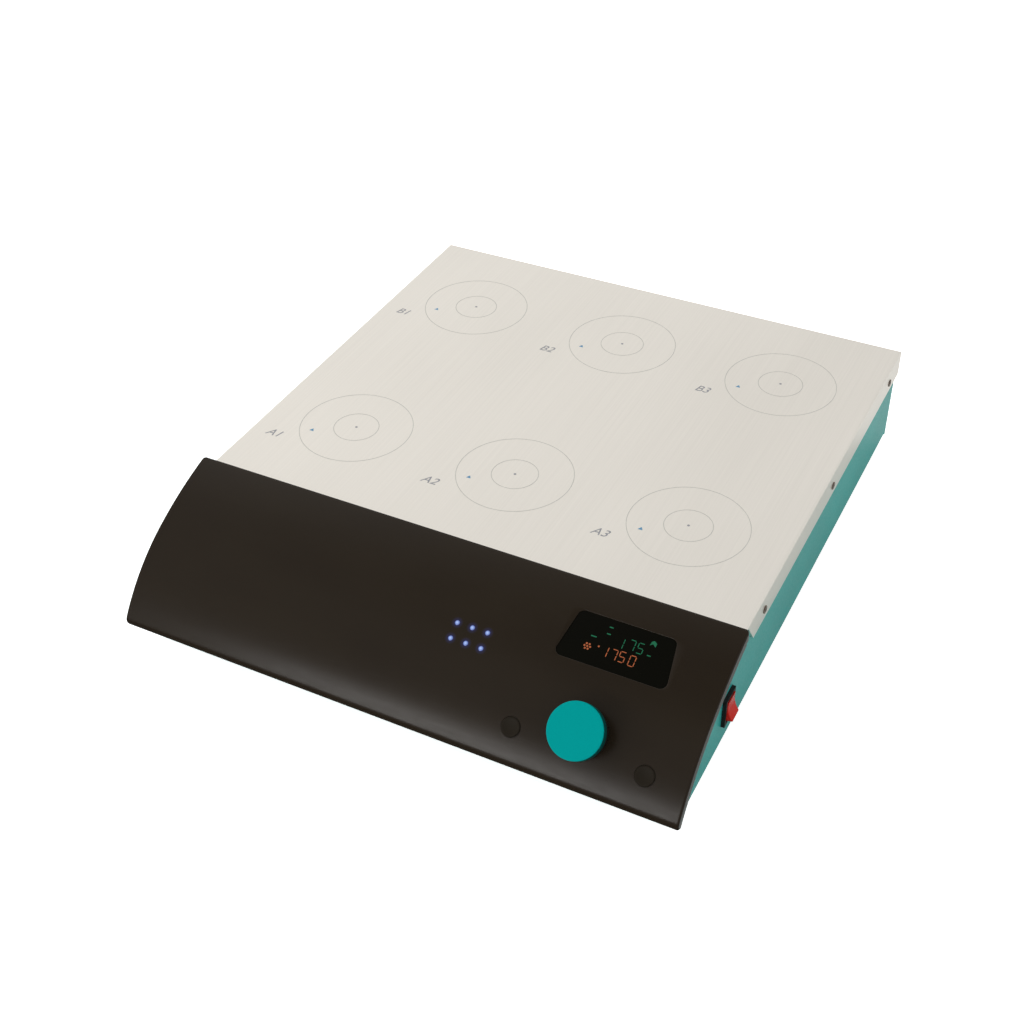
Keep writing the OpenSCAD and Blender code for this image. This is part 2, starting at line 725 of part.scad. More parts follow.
// Centre of each stirring place
function place_at(p) = [(search(p[1], "123")[0] - 1) * pitch_x, p[0] == "a" ? row_a : row_b, 0];
module at_places() {
  for (p = places) translate(place_at(p)) children();
}
module at_motor_screws() {
  for (x = [-1, 1], y = [-1, 1])
    translate([x * motor_screw_pitch / 2, y * motor_screw_pitch / 2, 0]) children();
}
module motor(p) {
  color("#3a3a3e") translate(place_at(p)) difference() {
    union() {
      translate([0, 0, deck_z - motor_h]) cylinder(r = motor_d / 2, h = motor_h);
      translate([0, 0, deck_z - 1]) cylinder(r = motor_boss_d / 2, h = motor_boss_h + 1);
      translate([0, -motor_d / 2, deck_z - motor_h + 4]) cube([motor_d / 3, 8, 8], center = true);
    }
    translate([0, 0, deck_z + motor_boss_h - spindle_h])
      cylinder(r = spindle_d / 2 + run_gap, h = 2 * spindle_h);
    at_motor_screws() translate([0, 0, deck_z - 4.5]) cylinder(r = m3_r, h = 10);
  }
}
module spindle(p) {
  low = deck_z + motor_boss_h - spindle_h + 1;
  color("lightgray") translate(place_at(p)) translate([0, 0, low])
    cylinder(r = spindle_d / 2, h = carrier_z + carrier_t - low);
}
module magnet_carrier(p) {
  color("#c8cacc") translate(place_at(p)) difference() {
    union() {
      translate([0, 0, carrier_z]) cylinder(r = carrier_d / 2, h = carrier_t);
      translate([0, 0, carrier_z - 1]) cylinder(r = spindle_d, h = 2);
    }
    cylinder(r = spindle_d / 2, h = 3 * plate_z, center = true);
    at_magnets() cylinder(r = magnet_d / 2, h = carrier_t);
  }
}
module at_magnets() {
  for (s = [-1, 1]) translate([s * magnet_pitch / 2, 0, carrier_z + magnet_floor]) children();
}
module magnets(p) {
  color("silver") translate(place_at(p)) at_magnets()
    cylinder(r = magnet_d / 2, h = carrier_t - magnet_floor);
}

// A board on four posts that stand on the floor pan
module board(x, y, w, l) {
  translate([x - w / 2, y - l / 2, board_z]) cube([w, l, board_t]);
  for (s = [-1, 1], v = [-1, 1])
    translate([x + s * (w / 2 - post_inset), y + v * (l / 2 - post_inset), pan_top])
      cylinder(r = post_d / 2, h = post_h);
}
module supply_board() {
  color("darkgreen") board(supply_x, board_y, supply_w, supply_l);
}
module supply_transformer() {
  color("khaki") translate([supply_x, board_y, board_z + board_t]) {
    for (z = [0, core_t + coil_h]) translate([-core_w / 2, -core_l / 2, z]) cube([core_w, core_l, core_t]);
    translate([coil_inset - core_w / 2, coil_inset - core_l / 2, core_t])
      cube([core_w - 2 * coil_inset, core_l - 2 * coil_inset, coil_h]);
  }
}
module supply_capacitors() {
  color("#202a3c") for (k = [-1:1])
    translate([supply_x - supply_w / 2 + 2 * capacitor_r + 2 * (k + 1),
               board_y + k * (2 * capacitor_r + 2), board_z + board_t])
      cylinder(r = capacitor_r, h = capacitor_h);
}
module control_board() {
  color("darkgreen") union() {
    board(control_x, board_y, control_w, control_l);
    translate([control_x - 10, board_y - chip_w / 2, board_z]) cube([chip_w, chip_w, board_t + chip_t]);
    for (x = ribbon_x) translate([x - ribbon_w / 2 - 2, ribbon_y - ribbon_plug_l / 2, board_z])
      cube([ribbon_w + 4, ribbon_plug_l, board_t + ribbon_plug_h]);
  }
}
// Flat cables that rise from the control board to the three boards behind the panel
module ribbon_cables() {
  color("slategray") {
    ribbon(ribbon_x[0], lights_slope, lights_seat + board_t);
    ribbon(ribbon_x[1], knob_slope, keypad_z + board_t);
    ribbon(ribbon_x[2], display_slope, display_board_z + board_t);
  }
}
module ribbon(x, slope, d) {
  side = ribbon_t / 2 * [sin(45), cos(45)];
  top = panel_point(slope) - (d + move_gap) * normal(slope);
  low = [ribbon_y, board_z + board_t + ribbon_plug_h] + side;
  n = 10;
  path = [for (k = [0:n]) let (t = k / n, e = t * t * (3 - 2 * t))
    [low[0] + (top[0] - low[0]) * e, low[1] + (top[1] - low[1]) * t]];
  translate([x, 0, 0]) along_x(ribbon_w) polygon(concat(
    [for (p = path) p + side], [for (k = [n:-1:0]) path[k] - side]));
}

module display_window() {
  color("#0c0c0a") on_panel(display_slope) translate([display_x, 0, 0]) {
    translate([0, 0, -window_seat - window_back_t])
      linear_extrude(window_seat + window_back_t - window_recess) window_outline(0);
    translate([0, 0, -window_seat - window_back_t]) linear_extrude(window_back_t)
      window_outline(window_rim);
  }
}
module display_module() {
  color("#1c1c1c") on_panel(display_slope) translate([display_x, 0, 0]) {
    translate([0, 0, -display_board_z + module_t / 2])
      cube([display_top_w - 2 * module_inset, display_h - 3 * module_inset, module_t], center = true);
    translate([0, 0, -display_board_z - board_t / 2])
      cube([2 * display_post_x + post_d + 1, display_h, board_t], center = true);
  }
}
module indicator_board() {
  color("darkgreen") on_panel(lights_slope) translate([lights_x, 0, -lights_seat - board_t / 2])
    cube([lights_board_w, 2 * lights_pitch, board_t], center = true);
}
module light_pipes() {
  color("aliceblue") at_lights() translate([0, 0, -lights_seat]) {
    cylinder(r = light_d / 2, h = lights_seat + 0.2);
    cylinder(r = light_d / 2 + 0.8, h = 0.8);
  }
}
module keypad_board() {
  color("darkgreen") on_panel(knob_slope)
    translate([knob_x - keypad_w / 2, button_y - keypad_low, -keypad_z - board_t])
      cube([keypad_w, keypad_low + keypad_high - button_y, board_t]);
}
module tact_switches() {
  color("#2a2a2a") for (s = [-1, 1]) at_button(s) translate([0, 0, -keypad_z - button_z]) difference() {
    translate([-tact_w / 2, -tact_w / 2, 0]) cube([tact_w, tact_w, tact_h]);
    translate([0, 0, tact_floor]) cylinder(r = tact_stem_r + move_gap, h = tact_h);
  }
}
module encoder_body() {
  color("silver") on_panel(knob_slope) translate([knob_x, 0, 0]) difference() {
    union() {
      translate([-encoder_w / 2, -encoder_w / 2, -keypad_z]) cube([encoder_w, encoder_w, encoder_h]);
      translate([0, 0, -keypad_z]) cylinder(r = encoder_bush_r, h = keypad_z);
    }
    translate([0, 0, 1 - keypad_z]) cylinder(r = encoder_shaft_d / 2 + run_gap, h = 2 * keypad_z);
  }
}
module encoder_shaft() {
  color("lightgray") on_panel(knob_slope) translate([knob_x, 0, 1.5 - keypad_z])
    cylinder(r = encoder_shaft_d / 2, h = keypad_z - 1.5 + knob_gap + knob_h - 1);
}
module knob_body() {
  color("#1d1d1d") on_panel(knob_slope) translate([knob_x, 0, knob_gap]) difference() {
    cylinder(r1 = knob_d / 2, r2 = knob_d / 2 - 0.4, h = knob_h);
    translate([0, 0, -1]) cylinder(r = encoder_shaft_d / 2, h = knob_h);
    translate([0, 0, -1]) cylinder(r = encoder_bush_r + 2, h = 3);
  }
}
module knob_cap() {
  color("#009896") on_panel(knob_slope) translate([knob_x, 0, knob_gap + knob_h]) rotate_extrude() union() {
    square([cap_d / 2 - cap_r, cap_t]);
    square([cap_d / 2, cap_t - cap_r]);
    translate([cap_d / 2 - cap_r, cap_t - cap_r]) intersection() {
      circle(cap_r);
      square(cap_r);
    }
  }
}
module button(s) {
  color("#191919") at_button(s) union() {
    translate([0, 0, -button_seat - button_flange])
      cylinder(r = button_d / 2, h = button_seat + button_flange + button_proud);
    translate([0, 0, -button_seat - button_flange - move_gap])
      cylinder(r = button_d / 2 + button_rim, h = button_flange);
    translate([0, 0, tact_floor + button_travel + move_gap - keypad_z - button_z])
      cylinder(r = tact_stem_r, h = keypad_z - button_seat);
  }
}

module switch_body() {
  frame_w = bezel_w - 2 * bezel_frame;
  frame_h = bezel_h - 2 * bezel_frame;
  color("#161616") at_switch() difference() {
    union() {
      translate([bezel_t / 2, 0, 0]) cube([bezel_t, bezel_w, bezel_h], center = true);
      translate([-switch_depth / 2, 0, 0])
        cube([switch_depth, bezel_w - 2 - 2 * sheet_gap, bezel_h - 2 - 2 * sheet_gap], center = true);
    }
    translate([2 - switch_depth, -frame_w / 2, -frame_h / 2])
      cube([switch_depth + bezel_t, frame_w, frame_h]);
    translate([-rocker_pivot, 0, 0]) rotate([90, 0, 0])
      cylinder(r = rocker_pin_r + run_gap, h = frame_w + 1.2, center = true);
  }
}
// Rocker with two faces that meet above its pivot, pressed in at the top
module rocker() {
  r = rocker_h / 2 - rocker_relief;
  face = bezel_t + rocker_pivot;
  back = 6;
  color("#c23b30") at_switch() translate([-rocker_pivot, 0, 0]) rotate([0, -rocker_tilt, 0]) union() {
    rotate([90, 0, 0]) linear_extrude(rocker_w, center = true) polygon([
      [face + r * tan(rocker_tilt), -r], [face, 0], [face + r * tan(rocker_tilt), r],
      [1, r], [-back, r / 3], [-back, -r / 3], [1, -r]]);
    rotate([90, 0, 0]) cylinder(r = rocker_pin_r, h = rocker_w + 2 * move_gap + 0.8, center = true);
  }
}

module inlet_body() {
  color("#141414") difference() {
    union() {
      translate([inlet_x, back_out + inlet_flange_t / 2, inlet_z])
        cube([inlet_w, inlet_flange_t, inlet_h], center = true);
      translate([inlet_x, back_out - inlet_depth / 2, inlet_z])
        cube([inlet_body_w, inlet_depth, inlet_body_h], center = true);
    }
    translate([inlet_x, inlet_face - socket_depth, socket_z]) rotate([-90, 0, 0])
      linear_extrude(2 * socket_depth) polygon([
        [-socket_w / 2, socket_h / 2], [socket_w / 2, socket_h / 2],
        [socket_w / 2, socket_cut - socket_h / 2], [socket_w / 2 - socket_cut, -socket_h / 2],
        [socket_cut - socket_w / 2, -socket_h / 2], [-socket_w / 2, socket_cut - socket_h / 2]]);
    translate([inlet_x, inlet_face - drawer_l / 2 - move_gap, drawer_z])
      cube([drawer_w + 2 * move_gap, drawer_l + 4 * move_gap, drawer_h + 2 * move_gap], center = true);
  }
}
module inlet_pins() {
  color("gainsboro") for (p = [[-7, -1.5], [0, 2.5], [7, -1.5]])
    translate([inlet_x + p[0], inlet_face - socket_depth + pin_l / 2, socket_z + p[1]])
      cube([2, pin_l, 4], center = true);
}
module fuse_drawer() {
  color("#222222") difference() {
    union() {
      translate([inlet_x, inlet_face - drawer_l / 2, drawer_z])
        cube([drawer_w, drawer_l, drawer_h], center = true);
      translate([inlet_x, inlet_face + 0.4, drawer_z]) cube([drawer_w / 2, 2, 2], center = true);
    }
    translate([inlet_x, inlet_face - drawer_l / 2, drawer_z + fuse_r])
      cube([fuse_l, 2 * fuse_r, drawer_h], center = true);
  }
}
module fuse() {
  color("lightgray") translate([inlet_x, inlet_face - drawer_l / 2, drawer_z + 2 * fuse_r - drawer_h / 2])
    rotate([0, 90, 0]) cylinder(r = fuse_r, h = fuse_l, center = true);
}

base_pan();
side_panel(-1);  // side_panel_left
side_panel(1);  // side_panel_right
back_panel();
top_plate();
front_panel();
feet();
foot_screws();
top_plate_screws();
housing_screws();
motor_deck();
deck_pillars();
deck_screws();
for (p = places) {
  motor(p);
  spindle(p);
  magnet_carrier(p);
  magnets(p);
}
supply_board();
supply_transformer();
supply_capacitors();
control_board();
ribbon_cables();
display_window();
display_module();
indicator_board();
light_pipes();
keypad_board();
tact_switches();
encoder_body();
encoder_shaft();
knob_body();
knob_cap();
button(-1);  // button_left
button(1);  // button_right
switch_body();
rocker();
inlet_body();
inlet_pins();
fuse_drawer();
fuse();
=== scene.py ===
import json
import math
import bmesh
import bpy
import numpy as np
from mathutils import Matrix, Vector


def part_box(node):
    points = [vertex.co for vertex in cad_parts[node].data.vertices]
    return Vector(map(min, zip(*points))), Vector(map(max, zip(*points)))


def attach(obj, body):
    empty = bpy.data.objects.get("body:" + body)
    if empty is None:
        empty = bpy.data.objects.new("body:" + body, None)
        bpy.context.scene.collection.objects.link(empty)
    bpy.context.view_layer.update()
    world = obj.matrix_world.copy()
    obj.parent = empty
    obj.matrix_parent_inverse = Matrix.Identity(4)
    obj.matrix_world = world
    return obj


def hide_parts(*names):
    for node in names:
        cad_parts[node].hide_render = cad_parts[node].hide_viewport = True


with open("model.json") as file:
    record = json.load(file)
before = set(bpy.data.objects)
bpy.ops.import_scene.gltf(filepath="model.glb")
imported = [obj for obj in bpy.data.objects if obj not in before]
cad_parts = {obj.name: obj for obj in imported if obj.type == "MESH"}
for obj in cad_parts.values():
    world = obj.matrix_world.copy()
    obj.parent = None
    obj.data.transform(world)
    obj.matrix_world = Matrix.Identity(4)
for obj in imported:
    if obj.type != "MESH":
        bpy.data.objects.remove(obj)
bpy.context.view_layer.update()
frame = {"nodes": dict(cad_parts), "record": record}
nodes = frame["nodes"]
mm = 0.001
print("frame loaded,", len(nodes), "nodes")


# Camera: on a tripod at the front right, looking down on the bench

cameraSet = {
    "azimuth": 27.79,                           # degrees from the front, towards the right
    "elevation": 38.99,
    "roll": -1.27,
    "place": (0.35257, -0.70956, 0.66441),
    "lens": 52.22,                              # mm on a 36 mm wide sensor
}


def aimedMatrix(place, back, roll=0.0):
    # Columns are right, up and back; roll turns right and up about back
    right = Vector((0, 0, 1)).cross(back).normalized()
    up = back.cross(right)
    c, s = math.cos(roll), math.sin(roll)
    columns = (right * c + up * s, up * c - right * s, back)
    return Matrix.Translation(place) @ Matrix(columns).transposed().to_4x4()


def addCamera(s):
    az, el, roll = (math.radians(s[key]) for key in ("azimuth", "elevation", "roll"))
    back = Vector((math.sin(az) * math.cos(el), -math.cos(az) * math.cos(el), math.sin(el)))
    data = bpy.data.cameras.new("camera")
    data.lens = s["lens"]
    data.sensor_width = 36
    data.clip_start = 0.01
    camera = bpy.data.objects.new("camera", data)
    camera.matrix_world = aimedMatrix(Vector(s["place"]), back, roll)
    bpy.context.scene.collection.objects.link(camera)
    bpy.context.scene.camera = camera


addCamera(cameraSet)
bpy.context.scene.view_settings.view_transform = "Standard"


# The panel's curve, which carries everything on the panel

panelSet = {
    "backRadius": 230 * mm,
    "frontRadius": 130 * mm,
    "slopes": (14, 28, 57.7),                   # degrees, at the upper edge, between the arcs, at the toe
    "wall": 3 * mm,
    "rimDepth": 7 * mm,                         # the wall's thickness in the rim at both ends
    "rimWidth": 4.9 * mm,
    "lip": 2.4 * mm,
    "cornerRadius": 2.6 * mm,                   # seen from above
    "endRound": 1.2 * mm,
    "lipRound": 1.0 * mm,
    "toeRound": 5 * mm,
    "plateStep": 0.4 * mm,                      # from the plate's top down to the panel's seat
    "tuck": 4.7 * mm,                           # the rim's underside ends this far before the upper edge
    "points": {"lip": 7, "back": 48, "front": 64, "toe": 20, "innerFront": 30, "innerBack": 24},
    "stations": {"end": 8, "corner": 6, "span": 24},
}
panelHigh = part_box("front_panel")[1]
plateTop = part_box("top_plate")[1].z


def slopeNormal(a):
    # (y, z) of the outward normal where the panel rises by a degrees
    a = np.radians(a)
    return np.stack([-np.sin(a), np.cos(a)], -1)


slopeBack, slopeJoin, slopeToe = panelSet["slopes"]
backCentre = np.array([panelHigh.y, panelHigh.z]) - panelSet["backRadius"] * slopeNormal(slopeBack)
frontCentre = backCentre + (panelSet["backRadius"] - panelSet["frontRadius"]) * slopeNormal(slopeJoin)


def panelPoint(a, depth=0.0):
    # Point of the panel's curve by its slope a, depth below the surface
    a = np.asarray(a, float)[..., None]
    onBack = backCentre + (panelSet["backRadius"] - depth) * slopeNormal(a[..., 0])
    onFront = frontCentre + (panelSet["frontRadius"] - depth) * slopeNormal(a[..., 0])
    return np.where(a <= slopeJoin, onBack, onFront)


def panelOrigin(x, a):
    # Where a control stands: on the panel's curve at slope a, x from the middle
    y, z = panelPoint(a)
    return (x, y, z)


# Places of the openings in the panel: the window, the six lights, the knob's bush and the two buttons

controlSet = {
    "window": {"x": 122.6 * mm, "slope": 23.07, "top": 59.5 * mm, "low": 69.3 * mm, "height": 30.4 * mm,
               "corner": 4 * mm, "gap": 0.2 * mm, "recess": 1 * mm, "pane": 3 * mm,
               "edgeRound": 0.5 * mm, "edgeTurn": 72, "flare": 1.2 * mm, "deep": 8 * mm, "clear": 3 * mm},
    "lights": {"x": 36.7 * mm, "slope": 29, "pitch": 10 * mm, "radius": 1.5 * mm, "gap": 0.1 * mm},
    "knob": {"x": 121.2 * mm, "slope": 42.5, "bushHole": 4.4 * mm},
    "buttons": {"spread": 41.2 * mm, "slope": 47.3, "radius": 6 * mm, "gap": 0.1 * mm},
    "holeReach": 9 * mm,                        # how far a hole's cutter goes in and out of the panel
}
buttonShift = panelPoint(controlSet["buttons"]["slope"]) - panelPoint(controlSet["knob"]["slope"])
knobTilt = math.radians(controlSet["knob"]["slope"])
buttonV = buttonShift @ np.array([math.cos(knobTilt), math.sin(knobTilt)])
buttonW = buttonShift @ slopeNormal(controlSet["knob"]["slope"])


# Sizes of the knob, along its axis from the panel

knobSet = {
    "gap": 0.9 * mm,                            # between the body and the panel
    "bodyHeight": 8.2 * mm,
    "bodyRadius": 15.5 * mm,
    "bodyTopRadius": 15.1 * mm,
    "boreRadius": 3.05 * mm,
    "boreDepth": 7.2 * mm,
    "recessRadius": 6.2 * mm,
    "recessDepth": 2 * mm,
    "capHeight": 6.4 * mm,
    "capRadius": 16.6 * mm,
    "capRound": 0.7 * mm,
    "smallRound": 0.3 * mm,
}
knobOrigin = panelOrigin(controlSet["knob"]["x"], controlSet["knob"]["slope"])


# Materials

def hexColor(code):
    # sRGB hex to linear, with the usual straight part near black
    parts = [int(code[k:k + 2], 16) / 255 for k in (1, 3, 5)]
    return tuple(c / 12.92 if c <= 0.04045 else ((c + 0.055) / 1.055) ** 2.4 for c in parts) + (1.0,)


def addNode(tree, kind, settings=None, links=None):
    # Adds one node; a setting is one of its properties or an input's value, a link feeds an input
    node = tree.nodes.new(kind)
    for key, value in (settings or {}).items():
        if isinstance(key, str) and hasattr(node, key):
            setattr(node, key, value)
        else:
            node.inputs[key].default_value = value
    for key, socket in (links or {}).items():
        tree.links.new(socket, node.inputs[key])
    return node


def startMaterial(name, **shader):
    # A Principled shader with its values set on its own sockets, and the object's coordinates
    material = bpy.data.materials.new(name)
    material.use_nodes = True
    tree = material.node_tree
    tree.nodes.clear()
    bsdf = addNode(tree, "ShaderNodeBsdfPrincipled", shader)
    addNode(tree, "ShaderNodeOutputMaterial", links={"Surface": bsdf.outputs[0]})
    place = addNode(tree, "ShaderNodeTexCoord").outputs["Object"]
    return material, tree, bsdf, place


def grain(tree, place, size, stretch=(1, 1, 1), detail=2.0):
    # Noise whose lumps are about size metres across, drawn out along an axis where stretch is above 1
    scaled = addNode(tree, "ShaderNodeMapping",
                     {"Scale": tuple(1 / (size * s) for s in stretch)}, {"Vector": place})
    return addNode(tree, "ShaderNodeTexNoise", {"Scale": 1.0, "Detail": detail},
                   {"Vector": scaled.outputs[0]}).outputs["Fac"]


def blendColours(tree, colours, share):
    # From the first hex colour to the second as share goes from 0 to 1
    low, high = (hexColor(code) for code in colours)
    return addNode(tree, "ShaderNodeMix", {"data_type": "RGBA", 6: low, 7: high}, {0: share}).outputs[2]


def finish(tree, bsdf, pattern, colours=None, roughness=None, depth=0.0,
           spread=(0.3, 0.7), into="Base Color"):
    # A pattern drives the shader: spread gives its lowest and highest value, which blend two colours
    # or two roughnesses, and depth is the height of its bumps in metres
    even = addNode(tree, "ShaderNodeMapRange", {"From Min": spread[0], "From Max": spread[1]},
                   {"Value": pattern})
    if colours:
        tree.links.new(blendColours(tree, colours, even.outputs[0]), bsdf.inputs[into])
    if roughness:
        gloss = addNode(tree, "ShaderNodeMapRange", {"To Min": roughness[0], "To Max": roughness[1]},
                        {"Value": even.outputs[0]})
        tree.links.new(gloss.outputs[0], bsdf.inputs["Roughness"])
    if depth:
        bump = addNode(tree, "ShaderNodeBump", {"Distance": depth}, {"Height": pattern})
        tree.links.new(bump.outputs[0], bsdf.inputs["Normal"])


def brushedStainless():
    # Stainless sheet, brushed front to back: faint streaks, and clouds where the belt pressed harder
    material, tree, bsdf, place = startMaterial("brushedStainless", Metallic=1.0)
    # Real grit is too fine to show, so the streaks are drawn 1.1 mm wide
    streaks = grain(tree, place, 1.1 * mm, (1, 90, 1), 4)
    clouds = grain(tree, place, 90 * mm, (1, 2, 1))
    both = addNode(tree, "ShaderNodeMix", {"data_type": "FLOAT", 0: 0.4}, {2: streaks, 3: clouds})
    finish(tree, bsdf, both.outputs[0], ("#E6E1D8", "#EEE9E0"))
    finish(tree, bsdf, streaks, roughness=(0.31, 0.36), depth=0.005 * mm)
    return material


def powderCoat(name, colours):
    # Baked powder paint: an even colour with the faint orange peel of the cured film
    material, tree, bsdf, place = startMaterial(name)
    finish(tree, bsdf, grain(tree, place, 60 * mm), colours, spread=(0.35, 0.65))
    finish(tree, bsdf, grain(tree, place, 1.6 * mm, detail=1), roughness=(0.38, 0.48), depth=0.03 * mm)
    return material


def glossPlastic(name, colours, roughness, specular=0.5):
    # ABS, acrylic or polycarbonate from a polished tool: a deep even colour, a faint flow cloud and
    # hair-fine rubbing
    material, tree, bsdf, place = startMaterial(name, **{"Specular IOR Level": specular})
    finish(tree, bsdf, grain(tree, place, 45 * mm, (2.5, 1, 1)), colours)
    rubbing = grain(tree, place, 2.2 * mm, (6, 1, 1), 5)
    finish(tree, bsdf, rubbing, roughness=(roughness - 0.02, roughness + 0.03))
    finish(tree, bsdf, grain(tree, place, 0.9 * mm), depth=0.002 * mm)
    return material


def texturedPlastic(name, colours, roughness=0.5, size=0.35 * mm, specular=0.3):
    # Plastic from a spark-eroded tool: a fine matt grain
    material, tree, bsdf, place = startMaterial(
        name, Roughness=roughness, **{"Specular IOR Level": specular})
    finish(tree, bsdf, grain(tree, place, size, detail=3), colours, depth=0.02 * mm)
    return material


def machinedMetal(name, colours, roughness, size=0.5 * mm, stretch=(1, 1, 1)):
    # Turned, ground or plated metal: fine tool marks in the gloss
    material, tree, bsdf, place = startMaterial(name, Metallic=1.0)
    marks = grain(tree, place, size, stretch, 4)
    finish(tree, bsdf, marks, colours, (roughness - 0.06, roughness + 0.08), 0.006 * mm)
    return material


def printedInk(name, colours):
    # Screen-printed ink: matt, a little thin where the mesh of the screen lay
    material, tree, bsdf, place = startMaterial(name, Roughness=0.55)
    finish(tree, bsdf, grain(tree, place, 2.5 * mm), colours)
    return material


def litPlastic(name, colours, strength):
    # Lit element behind smoked acrylic: glows by itself, a little uneven over its length
    material, tree, bsdf, place = startMaterial(
        name, Roughness=0.4, **{"Base Color": hexColor("#060504"), "Emission Strength": strength})
    finish(tree, bsdf, grain(tree, place, 1.5 * mm), colours, spread=(0.35, 0.65), into="Emission Color")
    return material


def onPanel(tree, place, s):
    # Coordinates u, v along the panel and w out of it, from where a control stands on it
    settings = {"vector_type": "TEXTURE", "Location": panelOrigin(s["x"], s["slope"]),
                "Rotation": (math.radians(s["slope"]), 0, 0)}
    return addNode(tree, "ShaderNodeMapping", settings, {"Vector": place}).outputs[0]


def capLacquerAndPaintedShade(s, colours, flank):
    # Soft-touch lacquer on the cap's top, matt and even; the flank below it gets painted shade, a darker
    # colour from the rounded edge down
    material, tree, bsdf, place = startMaterial("softTouchLacquerWithPaintedShade", **{"Specular IOR Level": 0.02})
    height = addNode(tree, "ShaderNodeSeparateXYZ", None, {0: onPanel(tree, place, controlSet["knob"])})
    top = s["gap"] + s["bodyHeight"] + s["capHeight"]
    levels = {"From Min": top - s["capRound"], "From Max": top - s["capRound"] / 3}
    level = addNode(tree, "ShaderNodeMapRange", levels, {"Value": height.outputs[2]})
    speckle = grain(tree, place, 0.4 * mm, detail=3)
    even = addNode(tree, "ShaderNodeMapRange", {"From Min": 0.3, "From Max": 0.7}, {"Value": speckle})
    tone = blendColours(tree, colours, even.outputs[0])
    # Painted shade: below the rounded edge the flank takes the darker flank colour
    blend = addNode(tree, "ShaderNodeMix", {"data_type": "RGBA", 6: hexColor(flank)},
                    {0: level.outputs[0], 7: tone})
    tree.links.new(blend.outputs[2], bsdf.inputs["Base Color"])
    finish(tree, bsdf, speckle, roughness=(0.58, 0.66), depth=0.015 * mm)
    return material


def fromLights(tree, place, s):
    # Distance from the nearest light's axis, in the panel's own u and v:
    # hypot(|u| - pitch where |u| > pitch / 2, |v| - pitch / 2)
    folded = addNode(tree, "ShaderNodeVectorMath", {"operation": "ABSOLUTE"}, {0: onPanel(tree, place, s)})
    parts = addNode(tree, "ShaderNodeSeparateXYZ", None, {0: folded.outputs[0]})
    outer = addNode(tree, "ShaderNodeMath", {"operation": "GREATER_THAN", 1: s["pitch"] / 2},
                    {0: parts.outputs[0]})
    u = addNode(tree, "ShaderNodeMath", {"operation": "MULTIPLY_ADD", 1: -s["pitch"]},
                {0: outer.outputs[0], 2: parts.outputs[0]})
    v = addNode(tree, "ShaderNodeMath", {"operation": "SUBTRACT", 1: s["pitch"] / 2}, {0: parts.outputs[1]})
    across = addNode(tree, "ShaderNodeCombineXYZ", None, {0: u.outputs[0], 1: v.outputs[0]})
    away = addNode(tree, "ShaderNodeVectorMath", {"operation": "LENGTH"}, {0: across.outputs[0]})
    return away.outputs["Value"]


def litLens(s):
    # Acrylic light pipe over a blue diode: pale along its axis, blue towards its rim
    material, tree, bsdf, place = startMaterial(
        "litAcrylicLens", Roughness=0.25, **{"Base Color": hexColor("#141A33"), "Emission Strength": 1.0})
    finish(tree, bsdf, fromLights(tree, place, s), ("#A9C2F4", "#46569E"), spread=(0.3 * mm, s["radius"]),
           into="Emission Color")
    return material


def addPaintedGlow(material, s, reach=2.2 * mm):
    # Painted glow: emission painted into the panel's gloss around each lens, for the light that leaks from
    # it
    tree = material.node_tree
    bsdf = next(node for node in tree.nodes if node.type == "BSDF_PRINCIPLED")
    bsdf.inputs["Emission Strength"].default_value = 1.0
    place = addNode(tree, "ShaderNodeTexCoord").outputs["Object"]
    finish(tree, bsdf, fromLights(tree, place, s), ("#141B40", "#000000"),
           spread=(s["radius"], s["radius"] + reach), into="Emission Color")


